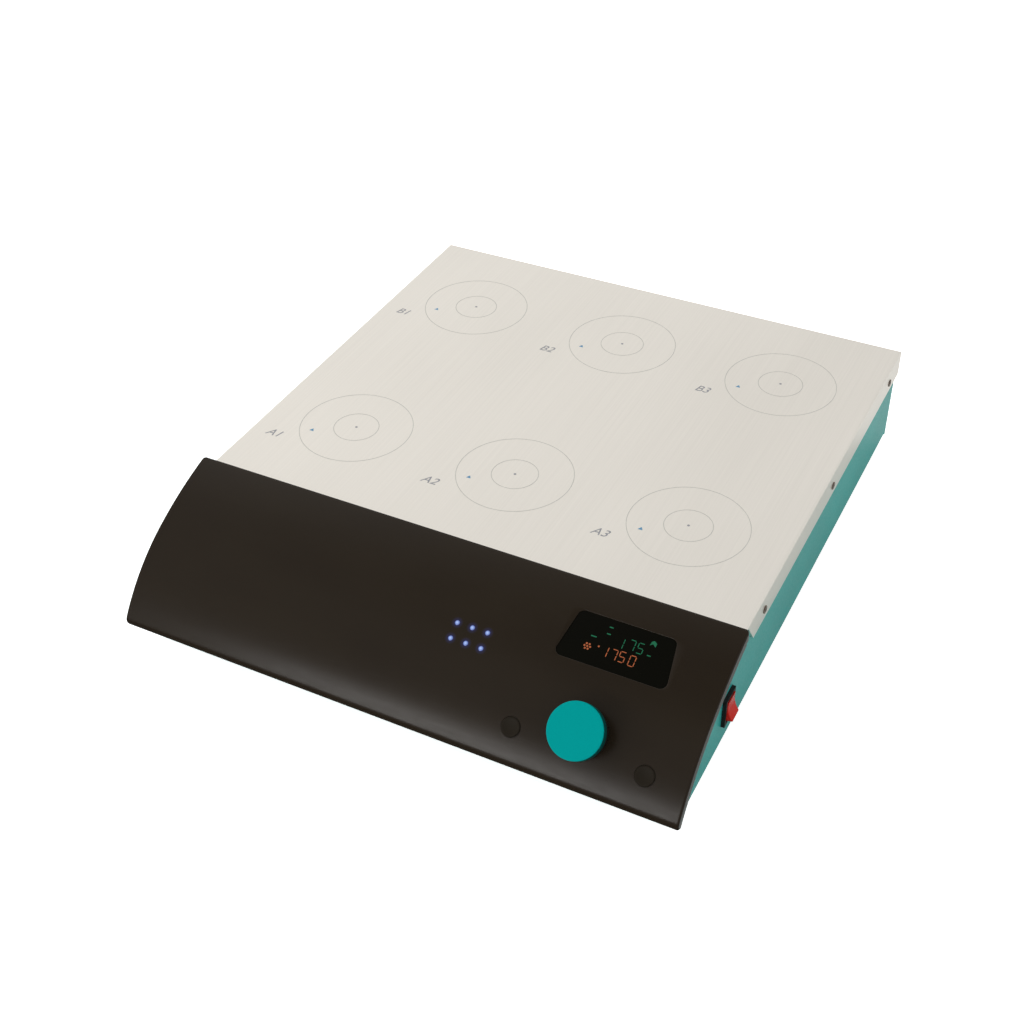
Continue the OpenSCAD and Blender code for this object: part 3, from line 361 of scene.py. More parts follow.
materials = {
    "teal_paint": powderCoat("bakedPowderPaint", ("#1EA39C", "#1E9A94")),
    "plate_steel": brushedStainless(),
    "panel_black": glossPlastic("glossAbsPanel", ("#221B13", "#251E15"), 0.24, 0.19),
    "foot_rubber": texturedPlastic("mouldedNitrileRubber", ("#232323", "#2B2B2A"), 0.85, 0.5 * mm, 0.2),
    "dark_screws": machinedMetal("brownedZincSteel", ("#766A60", "#84776C"), 0.42, 0.8 * mm),
    "zinc_screws": machinedMetal("brightZincSteel", ("#B9BBB8", "#CFCFC8"), 0.32, 0.8 * mm),
    "deck_aluminium": machinedMetal("rolledAluminium", ("#B4B6B8", "#C4C6C7"), 0.38, 1.2 * mm, (30, 1, 1)),
    "motor_casing": machinedMetal("drawnZincSteelCan", ("#5B5C60", "#6C6D70"), 0.36, 0.7 * mm, (1, 1, 12)),
    "shaft_steel": machinedMetal("groundSteel", ("#C6C8CA", "#D6D7D7"), 0.2, 0.3 * mm),
    "carrier_aluminium": machinedMetal("turnedAluminium", ("#BFC1C3", "#D0D1D1"), 0.3, 0.4 * mm),
    "magnet_nickel": machinedMetal("nickelPlatedMagnet", ("#B9B6AD", "#C9C5BA"), 0.16, 1.5 * mm),
    "board_laminate": texturedPlastic("glassEpoxyLaminate", ("#14472B", "#1B5635"), 0.35, 1.2 * mm, 0.5),
    "transformer_core": texturedPlastic("tapedFerriteCore", ("#B99A3C", "#C7A94E"), 0.45, 3 * mm),
    "capacitor_sleeve": texturedPlastic("shrunkPvcSleeve", ("#1B2740", "#22314E"), 0.3, 4 * mm, 0.5),
    "ribbon_pvc": texturedPlastic("ribbonCablePvc", ("#8C9196", "#9CA1A5"), 0.5, 1.3 * mm),
    "window_acrylic": glossPlastic("smokedAcrylic", ("#0A0A06", "#0C0B08"), 0.07, 0.1),
    "module_black": texturedPlastic("glassFilledNylon", ("#1A1A1A", "#222221"), 0.6),
    "encoder_metal": machinedMetal("nickelPlatedSteel", ("#A9A9A6", "#BCBCB7"), 0.28, 0.8 * mm),
    "knob_black": texturedPlastic("mouldedNylon", ("#191715", "#211E1B"), 0.5),
    # The last colour is painted shade on the cap's flank
    "knob_turquoise": capLacquerAndPaintedShade(knobSet, ("#008F8D", "#009391"), "#0C4844"),
    "button_black": texturedPlastic("siliconeRubber", ("#1F1A13", "#231E16"), 0.55, 0.3 * mm, 0.1),
    "switch_black": texturedPlastic("mouldedPolyamide", ("#131313", "#1B1B1A"), 0.5, specular=0.2),
    "rocker_red": glossPlastic("glossPolycarbonate", ("#C4251C", "#CE2A20"), 0.2, 0.08),
    "pin_nickel": machinedMetal("nickelPlatedBrass", ("#BDB9A8", "#CFCBB9"), 0.22, 0.8 * mm),
    "fuse_glass": machinedMetal("fuseCapBrass", ("#B8B6AE", "#CAC8BF"), 0.2, 0.6 * mm),
    "lens_clear": litLens(controlSet["lights"]),
}
# Painted glow on the panel around the six lights
addPaintedGlow(materials["panel_black"], controlSet["lights"])
for subpart in frame["record"]["subparts"]:
    piece = nodes[subpart["node"]]
    for materialSlot in piece.material_slots:
        materialSlot.material = materials[subpart["material_slot"]]
print("materials made,", len(materials))


# Mesh makers

def smoothPiece(piece, limit=30):
    # Smooth shading, with edges sharp where faces meet at more than limit degrees
    piece.data.polygons.foreach_set("use_smooth", np.ones(len(piece.data.polygons), bool))
    piece.data.set_sharp_from_angle(angle=math.radians(limit))


def addPiece(name, points, faces, slotName, body="housing", material=None, replaced=(), limit=30):
    # Points and faces to a finished piece: doubles merged, faces outwards, its body and slot given
    mesh = bpy.data.meshes.new(name)
    mesh.from_pydata(np.asarray(points).reshape(-1, 3).tolist(), [], [list(face) for face in faces])
    work = bmesh.new()
    work.from_mesh(mesh)
    bmesh.ops.remove_doubles(work, verts=work.verts, dist=1e-6)
    bmesh.ops.dissolve_degenerate(work, edges=work.edges, dist=1e-6)
    bmesh.ops.recalc_face_normals(work, faces=work.faces)
    work.to_mesh(mesh)
    work.free()
    mesh.materials.append(material or materials[slotName])
    piece = bpy.data.objects.new(name, mesh)
    bpy.context.scene.collection.objects.link(piece)
    smoothPiece(piece, limit)
    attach(piece, body)
    if replaced:
        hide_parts(*replaced)
    return piece


def gridFaces(rows, columns, closed=True):
    # Quads between neighbouring rows of a grid of points; closed joins the last column to the first
    row = np.arange(rows - 1)[:, None] * columns
    column = np.arange(columns if closed else columns - 1)[None, :]
    following = (column + 1) % columns
    quads = np.stack([row + column, row + following, row + columns + following, row + columns + column], -1)
    return quads.reshape(-1, 4).tolist()


def loft(rings):
    # A stack of closed rings, rows by columns by 3: quads between them and one face on each end
    rings = np.asarray(rings)
    rows, columns = rings.shape[:2]
    caps = [list(range(columns)), list(range((rows - 1) * columns, rows * columns))]
    return rings.reshape(-1, 3), gridFaces(rows, columns) + caps


def lathe(radii, heights, segments=96):
    # A profile turned about Z: (r cos t, r sin t, z)
    turn = np.arange(segments) * 2 * np.pi / segments
    radii, heights = (np.asarray(values, float)[:, None] for values in (radii, heights))
    levels = np.broadcast_to(heights, (len(radii), segments))
    return loft(np.stack([radii * np.cos(turn), radii * np.sin(turn), levels], -1))


def arc(centre, radius, start, end, count):
    # Points centre + radius (cos a, sin a), a from start to end in degrees
    a = np.radians(np.linspace(start, end, count))
    return np.stack([centre[0] + radius * np.cos(a), centre[1] + radius * np.sin(a)], -1)


def placed(points, origin, tilt=0.0):
    # Local points (u along X, v up the slope, w along the normal) put at origin, tilted about X
    c, s = math.cos(tilt), math.sin(tilt)
    u, v, w = np.moveaxis(np.asarray(points, float), -1, 0)
    return np.stack([origin[0] + u, origin[1] + c * v - s * w, origin[2] + s * v + c * w], -1)


# Front panel

def panelProfile(e, depth, s):
    # Closed outline in (y, z) at distance e from the panel's end, its wall depth thick there.
    # Rounded end: the surface sinks by f - sqrt(f^2 - (f - e)^2), f the rounding's radius.
    # Rounded corner: the lip draws back in the same way
    def fall(radius):
        k = max(radius - e, 0.0)
        return radius - math.sqrt(radius * radius - k * k)

    sink, back = fall(s["endRound"]), fall(s["cornerRadius"])
    lipY, seatZ = panelHigh.y - back, plateTop - s["plateStep"]
    outerBack, outerFront = s["backRadius"] - sink, s["frontRadius"] - sink
    toe = slopeToe - math.degrees(sink / s["frontRadius"])
    roundLip, roundToe, count = s["lipRound"], s["toeRound"], s["points"]
    first = math.degrees(math.asin((backCentre[0] - lipY + roundLip) / (outerBack - roundLip)))
    last = toe - math.degrees(math.asin(roundToe / (outerFront - roundToe)))
    lipCentre = backCentre + (outerBack - roundLip) * slopeNormal(first)
    toeCentre = frontCentre + (outerFront - roundToe) * slopeNormal(last)
    low = toe - math.degrees(math.asin(s["lip"] / s["frontRadius"]))
    inRim = depth > s["wall"]
    step = min(panelHigh.y - s["tuck"], lipY) if inRim else lipY - s["lip"]
    inner = math.degrees(math.asin((backCentre[0] - step) / (s["backRadius"] - depth)))
    return np.concatenate([
        [[lipY, seatZ]],
        lipCentre + roundLip * slopeNormal(np.linspace(-90, first, count["lip"])),
        backCentre + outerBack * slopeNormal(np.linspace(first, slopeJoin, count["back"])[1:]),
        frontCentre + outerFront * slopeNormal(np.linspace(slopeJoin, last, count["front"])[1:]),
        toeCentre + roundToe * slopeNormal(np.linspace(last, toe + 90, count["toe"])[1:]),
        panelPoint(np.array([toe, low]), s["rimDepth"]),
        panelPoint(np.linspace(low, slopeJoin, count["innerFront"]), depth),
        panelPoint(np.linspace(slopeJoin, inner, count["innerBack"]), depth)[1:],
        [[step, seatZ]],
    ])


def sweptPanel(s):
    # The outline carried along X; its stations lie closer through the rounded end, the corner and the rim
    half, count = panelHigh.x, s["stations"]
    rounding = s["endRound"] * (1 - np.cos(np.linspace(0, np.pi / 2, count["end"])))
    corner = np.linspace(s["endRound"], s["cornerRadius"], count["corner"])[1:]
    stations = [(e, s["rimDepth"]) for e in [*rounding, *corner, s["rimWidth"]]]
    stations += [(e, s["wall"]) for e in np.linspace(s["rimWidth"], half, count["span"])]
    left = [(-half + e, panelProfile(e, depth, s)) for e, depth in stations]
    sections = left + [(-x, profile) for x, profile in left[-2::-1]]
    rings = [np.column_stack([np.full(len(profile), x), profile]) for x, profile in sections]
    return loft(rings)


def windowOutline(s, grow):
    # Trapezoid with round corners, widened by grow on every side; 9 points to a corner
    half = s["height"] / 2 + grow
    corners = np.array([(-s["low"] / 2 - grow, -half), (s["low"] / 2 + grow, -half),
                        (s["top"] / 2 + grow, half), (-s["top"] / 2 - grow, half)])
    radius = s["corner"] + grow / 2
    points = []
    for k, corner in enumerate(corners):
        u = corners[k - 1] - corner
        v = corners[(k + 1) % 4] - corner
        u, v = u / np.linalg.norm(u), v / np.linalg.norm(v)
        half = np.arccos(u @ v) / 2
        centre = corner + (u + v) / np.linalg.norm(u + v) * radius / np.sin(half)
        start = corner + u * radius / np.tan(half) - centre
        turn = np.linspace(0, np.pi - 2 * half, 9)
        points += [centre + np.array([start[0] * np.cos(t) - start[1] * np.sin(t),
                                      start[0] * np.sin(t) + start[1] * np.cos(t)]) for t in turn]
    return np.array(points)


def windowCutter(s):
    # The opening's wall. Where it meets the panel it is rounded over, with grow = gap + r (1 - cos a)
    # and sink = r (1 - sin a), and then it flares straight out
    a = np.radians(np.linspace(0, s["edgeTurn"], 6))
    grows = np.concatenate([[s["gap"]], s["gap"] + s["edgeRound"] * (1 - np.cos(a))])
    sinks = np.concatenate([[s["deep"]], s["edgeRound"] * (1 - np.sin(a))])
    grows = np.append(grows, grows[-1] + s["flare"] * math.sin(a[-1]))
    sinks = np.append(sinks, sinks[-1] - s["flare"] * math.cos(a[-1]))
    rings = []
    for grow, sink in zip(grows, sinks):
        outline = windowOutline(s, grow)
        sag = panelSet["backRadius"] - np.sqrt(panelSet["backRadius"] ** 2 - outline[:, 1] ** 2)
        rings.append(np.column_stack([outline, -sag - sink]))
    rings.append(np.column_stack([outline, np.full(len(outline), s["clear"])]))
    points, faces = loft(rings)
    return placed(points, panelOrigin(s["x"], s["slope"]), math.radians(s["slope"])), faces


def holeCutter(radius, origin, tilt, shift=(0, 0), segments=48):
    # A rod through the panel, shift from the origin along the panel
    reach = controlSet["holeReach"]
    points, faces = lathe([radius, radius], [-reach, reach], segments)
    return placed(points + np.array([*shift, 0]), origin, tilt), faces


def joinShapes(shapes):
    # Several shapes as one: each one's faces count on from the points before it
    points, faces, base = [], [], 0
    for shapePoints, shapeFaces in shapes:
        points.append(np.asarray(shapePoints).reshape(-1, 3))
        faces += [[index + base for index in face] for face in shapeFaces]
        base += len(points[-1])
    return np.concatenate(points), faces


def lightPlaces(s):
    # Three columns and two rows about the group's middle
    return [(i * s["pitch"], k * s["pitch"]) for k in (-0.5, 0.5) for i in (-1, 0, 1)]


def panelCutters(s):
    # Window, bush hole, six light holes and two button holes
    lights, knob, buttons = s["lights"], s["knob"], s["buttons"]
    shapes = [windowCutter(s["window"]), holeCutter(knob["bushHole"], knobOrigin, knobTilt)]
    shapes += [holeCutter(lights["radius"] + lights["gap"], panelOrigin(lights["x"], lights["slope"]),
                          math.radians(lights["slope"]), shift, 32) for shift in lightPlaces(lights)]
    shapes += [holeCutter(buttons["radius"] + buttons["gap"], knobOrigin, knobTilt,
                          (side * buttons["spread"], buttonV), 64) for side in (-1, 1)]
    return joinShapes(shapes)


def carve(piece, cutter):
    # Takes the cutter out of the piece for good, so that no modifier is left on it
    modifier = piece.modifiers.new("cut", "BOOLEAN")
    modifier.operation, modifier.solver, modifier.object = "DIFFERENCE", "EXACT", cutter
    bpy.context.view_layer.update()
    cut = bpy.data.meshes.new_from_object(piece.evaluated_get(bpy.context.evaluated_depsgraph_get()))
    piece.modifiers.clear()
    piece.data = cut
    bpy.data.objects.remove(cutter)


panelPiece = addPiece("frontPanel", *sweptPanel(panelSet), "panel_black", replaced=["front_panel"])
cutterPoints, cutterFaces = panelCutters(controlSet)
cutterMesh = bpy.data.meshes.new("panelCutter")
cutterMesh.from_pydata(cutterPoints.tolist(), [], cutterFaces)
cutterObject = bpy.data.objects.new("panelCutter", cutterMesh)
bpy.context.scene.collection.objects.link(cutterObject)
carve(panelPiece, cutterObject)
smoothPiece(panelPiece)
print("front panel made,", len(panelPiece.data.polygons), "faces")


# Knob, buttons and lights

def knobBodyProfile(s):
    # From the closed end of the shaft's bore, over the underside's recess, to the top under the cap
    low, high, r = s["gap"], s["gap"] + s["bodyHeight"], s["smallRound"]
    return np.concatenate([
        [[s["boreRadius"], low + s["boreDepth"]], [s["boreRadius"], low + s["recessDepth"]],
         [s["recessRadius"], low + s["recessDepth"]], [s["recessRadius"], low]],
        arc((s["bodyRadius"] - r, low + r), r, -90, 0, 5),
        [[s["bodyTopRadius"], high]],
    ])


def knobCapProfile(s):
    # Flat underside, straight flank and a rounded upper edge
    low = s["gap"] + s["bodyHeight"]
    high, small, big = low + s["capHeight"], s["smallRound"], s["capRound"]
    return np.concatenate([
        arc((s["capRadius"] - small, low + small), small, -90, 0, 5),
        arc((s["capRadius"] - big, high - big), big, 0, 90, 12),
        [[s["capRadius"] - 2 * big, high]],
    ])


def turned(name, profile, slotName, body, replaced, shift=(0, 0, 0), segments=128):
    # A lathed piece about the knob's axis, or beside it by shift
    points, faces = lathe(profile[:, 0], profile[:, 1], segments)
    points = placed(points + np.array(shift), knobOrigin, knobTilt)
    addPiece(name, points, faces, slotName, body, replaced=[replaced])


turned("knobBody", knobBodyProfile(knobSet), "knob_black", "knob", "knob_body")
turned("knobCap", knobCapProfile(knobSet), "knob_turquoise", "knob", "knob_cap")

buttonSet = {
    "proud": 0.7 * mm,
    "round": 0.9 * mm,
    "dish": 0.6 * mm,                           # hollow for the fingertip
    "dishInner": 0.3 * mm,                      # radius of the flat in its middle
    "flangeRadius": 7.6 * mm,
    "flange": (-7.3 * mm, -5.8 * mm),
    "stemRadius": 1.6 * mm,
    "stemLow": -11.44 * mm,
}


def buttonProfile(s, radius):
    # Stem, flange and round body; the top is hollowed by dish (1 - (r / rim)^2)
    rim = radius - s["round"]
    under, over = s["flange"]
    hollow = np.linspace(rim, s["dishInner"], 10)
    return np.concatenate([
        [[s["stemRadius"], s["stemLow"]], [s["stemRadius"], under],
         [s["flangeRadius"], under], [s["flangeRadius"], over], [radius, over]],
        arc((rim, s["proud"] - s["round"]), s["round"], 0, 90, 7),
        np.column_stack([hollow, s["proud"] - s["dish"] * (1 - (hollow / rim) ** 2)])[1:],
    ])


for side, word in ((-1, "left"), (1, "right")):
    turned("button" + word.capitalize(), buttonProfile(buttonSet, controlSet["buttons"]["radius"]),
           "button_black", "button_" + word, "button_" + word,
           (side * controlSet["buttons"]["spread"], buttonV, buttonW), 96)

lensSet = {
    "flangeRadius": 2.3 * mm,
    "low": -4.5 * mm,
    "flange": 0.8 * mm,
    "top": 0.2 * mm,                            # of the dome, above the panel
    "dome": 0.45 * mm,
}


def lensProfile(s, radius):
    # Flanged rod with a domed end of radius (r^2 + h^2) / 2h
    domeRadius = (radius ** 2 + s["dome"] ** 2) / (2 * s["dome"])
    edge = math.degrees(math.acos(radius / domeRadius))
    ledge = s["low"] + s["flange"]
    return np.concatenate([
        [[s["flangeRadius"], s["low"]], [s["flangeRadius"], ledge], [radius, ledge]],
        arc((0, s["top"] - domeRadius), domeRadius, edge, 88, 8),
    ])


def sixLenses(s, lights):
    # One lens copied to the six places
    profile = lensProfile(s, lights["radius"])
    points, faces = lathe(profile[:, 0], profile[:, 1], 32)
    points, faces = joinShapes([(points + np.array([*shift, 0]), faces) for shift in lightPlaces(lights)])
    return placed(points, panelOrigin(lights["x"], lights["slope"]), math.radians(lights["slope"])), faces


addPiece("lightLenses", *sixLenses(lensSet, controlSet["lights"]), "lens_clear", replaced=["light_pipes"])
print("knob, buttons and lights made")


# Rocker of the power switch

rockerSet = {
    "width": 11 * mm,
    "halfHeight": 7.2 * mm,
    "face": 5.5 * mm,                           # from the pivot out to the crease between the two faces
    "back": 6 * mm,
    "restTilt": math.radians(-12),
    "pivotIn": 2.2 * mm,                        # behind the housing's side
    "hollow": 0.25 * mm,
    "shoulder": 1 * mm,
    "edge": 0.5 * mm,
    "pinRadius": 1.2 * mm,
    "pinReach": 0.7 * mm,                       # out of the rocker's side
    "pinRoot": 0.2 * mm,                        # and into it
}


def rockerShape(s):
    # Outline in (x, z) about the pivot, extruded along Y, with two hollowed faces and two stub pins.
    # Faces: x = face + rise t - hollow sin^2(pi t), t = |z| / half the height
    half = s["halfHeight"]
    rise = half * math.tan(-s["restTilt"])
    z = np.linspace(-half, half, 25)
    t = np.abs(z) / half
    x = s["face"] + rise * t - s["hollow"] * np.sin(np.pi * t) ** 2
    backs = np.array([(s["shoulder"], half), (-s["back"], half / 3),
                      (-s["back"], -half / 3), (s["shoulder"], -half)])
    outline = np.concatenate([np.column_stack([x, z]), backs])
    # Rounded long edges: e (1 - cos a) from the side the outline is e (1 - sin a) smaller
    a = np.linspace(0, np.pi / 2, 5)
    shrink = s["edge"] * (1 - np.sin(a))
    ys = -s["width"] / 2 + s["edge"] * (1 - np.cos(a))
    size = np.array([s["face"] + s["back"], 2 * half]) / 2
    middle = np.array([(s["face"] - s["back"]) / 2, 0])
    rings = []
    for inward, y in [*zip(shrink, ys), *zip(shrink[::-1], -ys[::-1])]:
        section = middle + (outline - middle) * (1 - inward / size)
        rings.append(np.column_stack([section[:, 0], np.full(len(section), y), section[:, 1]]))
    side = s["width"] / 2
    pin, pinFaces = lathe([s["pinRadius"]] * 2, [side - s["pinRoot"], side + s["pinReach"]], 32)
    x, z, y = pin.T
    pins = [(np.stack([x, sign * y, z], -1), pinFaces) for sign in (-1, 1)]
    points, faces = joinShapes([loft(rings), *pins])
    cosTilt, sinTilt = math.cos(s["restTilt"]), math.sin(s["restTilt"])
    x, y, z = points.T
    tilted = np.stack([x * cosTilt + z * sinTilt, y, z * cosTilt - x * sinTilt], -1)
    centre = sum(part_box("switch_body"), Vector()) / 2
    centre.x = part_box("side_panel_right")[1].x - s["pivotIn"]
    return tilted + np.array(centre), faces


addPiece("rockerKey", *rockerShape(rockerSet), "rocker_red", "rocker", replaced=["rocker"], limit=35)


# Window pane, and the lit digits and marks on it

greenLight = litPlastic("greenPhosphor", ("#0A6A48", "#08583A"), 1.0)
orangeLight = litPlastic("orangePhosphor", ("#AE5E36", "#964E2C"), 1.0)
segmentsOf = {"0": "abcdef", "1": "bc", "5": "acdfg", "7": "abc"}
digitSet = {
    "height": 6.4 * mm,
    "width": 3.4 * mm,
    "stroke": 0.52 * mm,
    "gap": 0.18 * mm,
    "lift": 0.04 * mm,                          # how far a mark stands out of the pane
    # Sizes of the marks in mm, as their places are
    "barHeight": 0.7,
    "dotRadius": 0.55,
    "rosette": {"heart": 0.6, "ring": 1.75, "petal": 0.62, "petals": 6},
    "wing": [(-1.9, -1.5), (-0.2, -0.2), (1.7, -1.7), (1.9, 0.6), (0, 1.9), (-1.4, 1.0)],
}
# Places of the digits and marks on the pane, in mm from its middle; a bar has its length too
greenMarks = {
    "digits": [("1", (-0.1, 3.1)), ("7", (6.45, 3.95)), ("5", (11.75, 3.75))],
    "bars": [((-8.7, 10.4), 2.4), ((-8.7, 6.1), 2.4), ((-16.3, 2.0), 3.4), ((17.9, 1.2), 2.2)],
    "wing": (17.8, 8.9),
}
orangeMarks = {
    "digits": [("1", (-6.85, -4.6)), ("7", (-1.1, -4.9)), ("5", (3.9, -4.6)), ("0", (10.15, -5.0))],
    "dot": (-11.2, -2.9),
    "rosette": (-17.55, -4.9),
}


def slab(outline, low, high):
    # A flat outline given thickness between two heights
    outline = np.asarray(outline)
    return loft([np.column_stack([outline, np.full(len(outline), z)]) for z in (low, high)])


def windowPane(s):
    # The opening's own outline, one gap smaller all round, sunk by the recess
    points, faces = slab(windowOutline(s, 0.0), -s["recess"] - s["pane"], -s["recess"])
    return placed(points, panelOrigin(s["x"], s["slope"]), math.radians(s["slope"])), faces


def segmentBars(s, digit, centre):
    # Each lit segment is a bar with pointed ends, along X or upright
    w, h, t, g = s["width"] / 2, s["height"] / 2, s["stroke"] / 2, s["gap"]
    bars = {"a": ((-w, h), (w, h)), "g": ((-w, 0), (w, 0)), "d": ((-w, -h), (w, -h)),
            "f": ((-w, 0), (-w, h)), "b": ((w, 0), (w, h)),
            "e": ((-w, -h), (-w, 0)), "c": ((w, -h), (w, 0))}
    outlines = []
    for name in segmentsOf[digit]:
        start, end = (np.array(point) for point in bars[name])
        along = (end - start) / np.linalg.norm(end - start)
        across = np.array([-along[1], along[0]]) * t
        start, end = start + along * g, end - along * g
        outlines.append(np.array([start, start + along * t - across, end - along * t - across,
                                  end, end - along * t + across, start + along * t + across]) + centre)
    return outlines


def disc(centre, radius, count=20):
    # A circle's outline: centre + radius (cos a, sin a)
    a = np.linspace(0, 2 * np.pi, count, endpoint=False)
    return np.column_stack([centre[0] + radius * np.cos(a), centre[1] + radius * np.sin(a)])


def markPiece(name, marks, material, s):
    # All marks of one colour as thin slabs on the pane's face
    window = controlSet["window"]
    outlines = []
    for digit, centre in marks["digits"]:
        outlines += segmentBars(s, digit, np.array(centre) * mm)
    for centre, length in marks.get("bars", []):
        signs = np.array([(-1, -1), (1, -1), (1, 1), (-1, 1)])
        outlines.append((np.array(centre) + signs * (length / 2, s["barHeight"] / 2)) * mm)
    if "dot" in marks:
        outlines.append(disc(marks["dot"], s["dotRadius"]) * mm)
    if "rosette" in marks:
        rosette = s["rosette"]
        places = disc(marks["rosette"], rosette["ring"], rosette["petals"])
        outlines.append(disc(marks["rosette"], rosette["heart"]) * mm)
        outlines += [disc(place, rosette["petal"]) * mm for place in places]
    if "wing" in marks:
        outlines.append((np.array(marks["wing"]) + s["wing"]) * mm)
    face = -window["recess"]
    points, faces = joinShapes([slab(outline, face, face + s["lift"]) for outline in outlines])
    points = placed(points, panelOrigin(window["x"], window["slope"]), math.radians(window["slope"]))
    addPiece(name, points, faces, "window_acrylic", material=material)


addPiece("windowPane", *windowPane(controlSet["window"]), "window_acrylic", replaced=["display_window"])
markPiece("displayGreen", greenMarks, greenLight, digitSet)
markPiece("displayOrange", orangeMarks, orangeLight, digitSet)
print("switch and display made")


# Flat screws in the plate's folded edges

screwSet = {
    "drop": 11.5 * mm,                          # below the plate's top
    "backInset": 26 * mm,                       # last screw of a side, from the plate's back
    "pitch": 120 * mm,
    "radius": 2.6 * mm,
    "height": 0.7 * mm,
    "round": 0.4 * mm,
    "socket": 1.1 * mm,
    "socketDepth": 0.5 * mm,
    "shank": 1.45 * mm,
    "length": 7 * mm,
}


def plateScrews(s):
    # One turned screw, laid along X or Y and copied to the three places of each side and of the back
    profile = np.concatenate([
        [[s["shank"], -s["length"]], [s["shank"], 0], [s["radius"], 0]],
        arc((s["radius"] - s["round"], s["height"] - s["round"]), s["round"], 0, 90, 6),
        [[s["socket"], s["height"]], [s["socket"], s["height"] - s["socketDepth"]]],
    ])
    points, faces = lathe(profile[:, 0], profile[:, 1], 40)
    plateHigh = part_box("top_plate")[1]
    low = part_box("top_plate_screws")[0]
    level = plateTop - s["drop"]
    front, back = low.y + level - low.z, plateHigh.y - s["backInset"]
    shapes = []
    for y in (front, (front + back) / 2, back):
        for side in (-1, 1):
            laid = np.stack([side * points[:, 2], side * points[:, 1], points[:, 0]], -1)
            shapes.append((laid + np.array([side * plateHigh.x, y, level]), faces))
    for x in (-s["pitch"], 0, s["pitch"]):
        laid = np.stack([points[:, 1], points[:, 2], points[:, 0]], -1)
        shapes.append((laid + np.array([x, plateHigh.y, level]), faces))
    return joinShapes(shapes)


addPiece("plateScrews", *plateScrews(screwSet), "dark_screws", replaced=["top_plate_screws"])


# Printed marks of the six stirring places

ringInk = printedInk("etchedRingTone", ("#B9B7AF", "#C2C0B8"))
greyInk = printedInk("screenPrintedGreyInk", ("#85868A", "#919296"))
blueInk = printedInk("screenPrintedBlueInk", ("#4C86A8", "#5A90B0"))
printSet = {
    "height": 0.04 * mm,
    "outer": 38.4 * mm,
    "inner": 15.3 * mm,
    "line": 0.55 * mm,
    "dot": 0.9 * mm,
    "arrow": (-25.6 * mm, -15.9 * mm),
    "arrowSize": 2.6 * mm,
    "arrowShares": (0.6, 0.5, 0.6),             # of its size: the tip, the foot, half the foot's width
    "label": (-46.6 * mm, -29.6 * mm),
    "labelSize": 9.6 * mm,
    "labelSlant": 0.3,
}


def flatRing(radius, width, low, high, segments=120):
    # A rectangle (r, z) turned about Z, its outline closed on itself
    r = radius + width * np.array([-0.5, 0.5, 0.5, -0.5, -0.5])
    z = np.array([low, low, high, high, low])
    turn = np.arange(segments) * 2 * np.pi / segments
    rings = np.stack([r[:, None] * np.cos(turn), r[:, None] * np.sin(turn),
                      np.broadcast_to(z[:, None], (5, segments))], -1)
    return rings.reshape(-1, 3), gridFaces(5, segments)


def labelShape(word, s):
    # Text as a closed mesh lying on the plate, its middle at the label's place
    curve = bpy.data.curves.new("label", "FONT")
    curve.body = word
    curve.size, curve.shear = s["labelSize"], s["labelSlant"]
    curve.align_x, curve.align_y = "CENTER", "CENTER"
    curve.extrude = s["height"] / 2
    holder = bpy.data.objects.new("label", curve)
    bpy.context.scene.collection.objects.link(holder)
    bpy.context.view_layer.update()
    mesh = bpy.data.meshes.new_from_object(holder.evaluated_get(bpy.context.evaluated_depsgraph_get()))
    points = np.empty(len(mesh.vertices) * 3)
    mesh.vertices.foreach_get("co", points)
    points = points.reshape(-1, 3) + np.array([*s["label"], s["height"] / 2])
    faces = [list(face.vertices) for face in mesh.polygons]
    bpy.data.objects.remove(holder)
    bpy.data.meshes.remove(mesh)
    bpy.data.curves.remove(curve)
    return points, faces


def arrowShape(s):
    # Triangle that points away from the centre
    tip = np.array(s["arrow"])
    out = tip / np.linalg.norm(tip)
    side = np.array([-out[1], out[0]])
    ahead, behind, beside = (share * s["arrowSize"] for share in s["arrowShares"])
    outline = [tip + out * ahead, tip - out * behind + side * beside, tip - out * behind - side * beside]
    return slab(outline, 0, s["height"])


for placeName in ("a1", "a2", "a3", "b1", "b2", "b3"):
    low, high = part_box("spindle_" + placeName)
    centre = np.array([(low.x + high.x) / 2, (low.y + high.y) / 2, plateTop])
    line, height = printSet["line"], printSet["height"]
    rings = joinShapes([flatRing(printSet[key], line, 0, height) for key in ("outer", "inner")])
    addPiece("rings" + placeName.capitalize(), rings[0] + centre, rings[1], "plate_steel", material=ringInk)
    arrow = arrowShape(printSet)
    addPiece("arrow" + placeName.capitalize(), arrow[0] + centre, arrow[1], "plate_steel", material=blueInk)
    marks = joinShapes([slab(disc((0, 0), printSet["dot"]), 0, height),
                        labelShape(placeName.upper(), printSet)])
    addPiece("mark" + placeName.capitalize(), marks[0] + centre, marks[1], "plate_steel", material=greyInk)
print("plate marks made")


# Floor, lamps and world

stageSet = {
    "floorHalf": 6.0,
    "floorColour": "#F4F4F3",
    "floorLift": 0.75,                          # added to what the camera sees of the floor
    "flag": ((-0.5, -0.45), (0.5, -0.2)),       # corners on the floor
    "flagUp": 0.5 * mm,
    "flagColour": "#565656",
    "fillPlace": (-0.8, -1.9, 0.65),
    "fillSize": (2.4, 0.35),
    "fillPower": 14.5,
    "stripPlace": (-0.565, -2.01, 0.65),        # seen in the gloss alone: the band above the toe
    "stripSize": (0.98, 0.35),
    "stripPower": 7.8,
    "keyPlace": (-1.6, 0.6, 2.2),
    "keySize": (1.6, 1.6),
    "keyPower": 24.0,
    "skyDiffuse": 0.72,
    # The sky in reflections, by the x, y and z of the direction: from this value to that, these strengths
    "sky": {"X": ((-0.55, -0.1), (1.0, 0.82)),
            "Y": ((0.0, 0.35), (0.5, 1.0)),
            "Z": ((0.84, 0.98), (1.0, 0.25))},
}


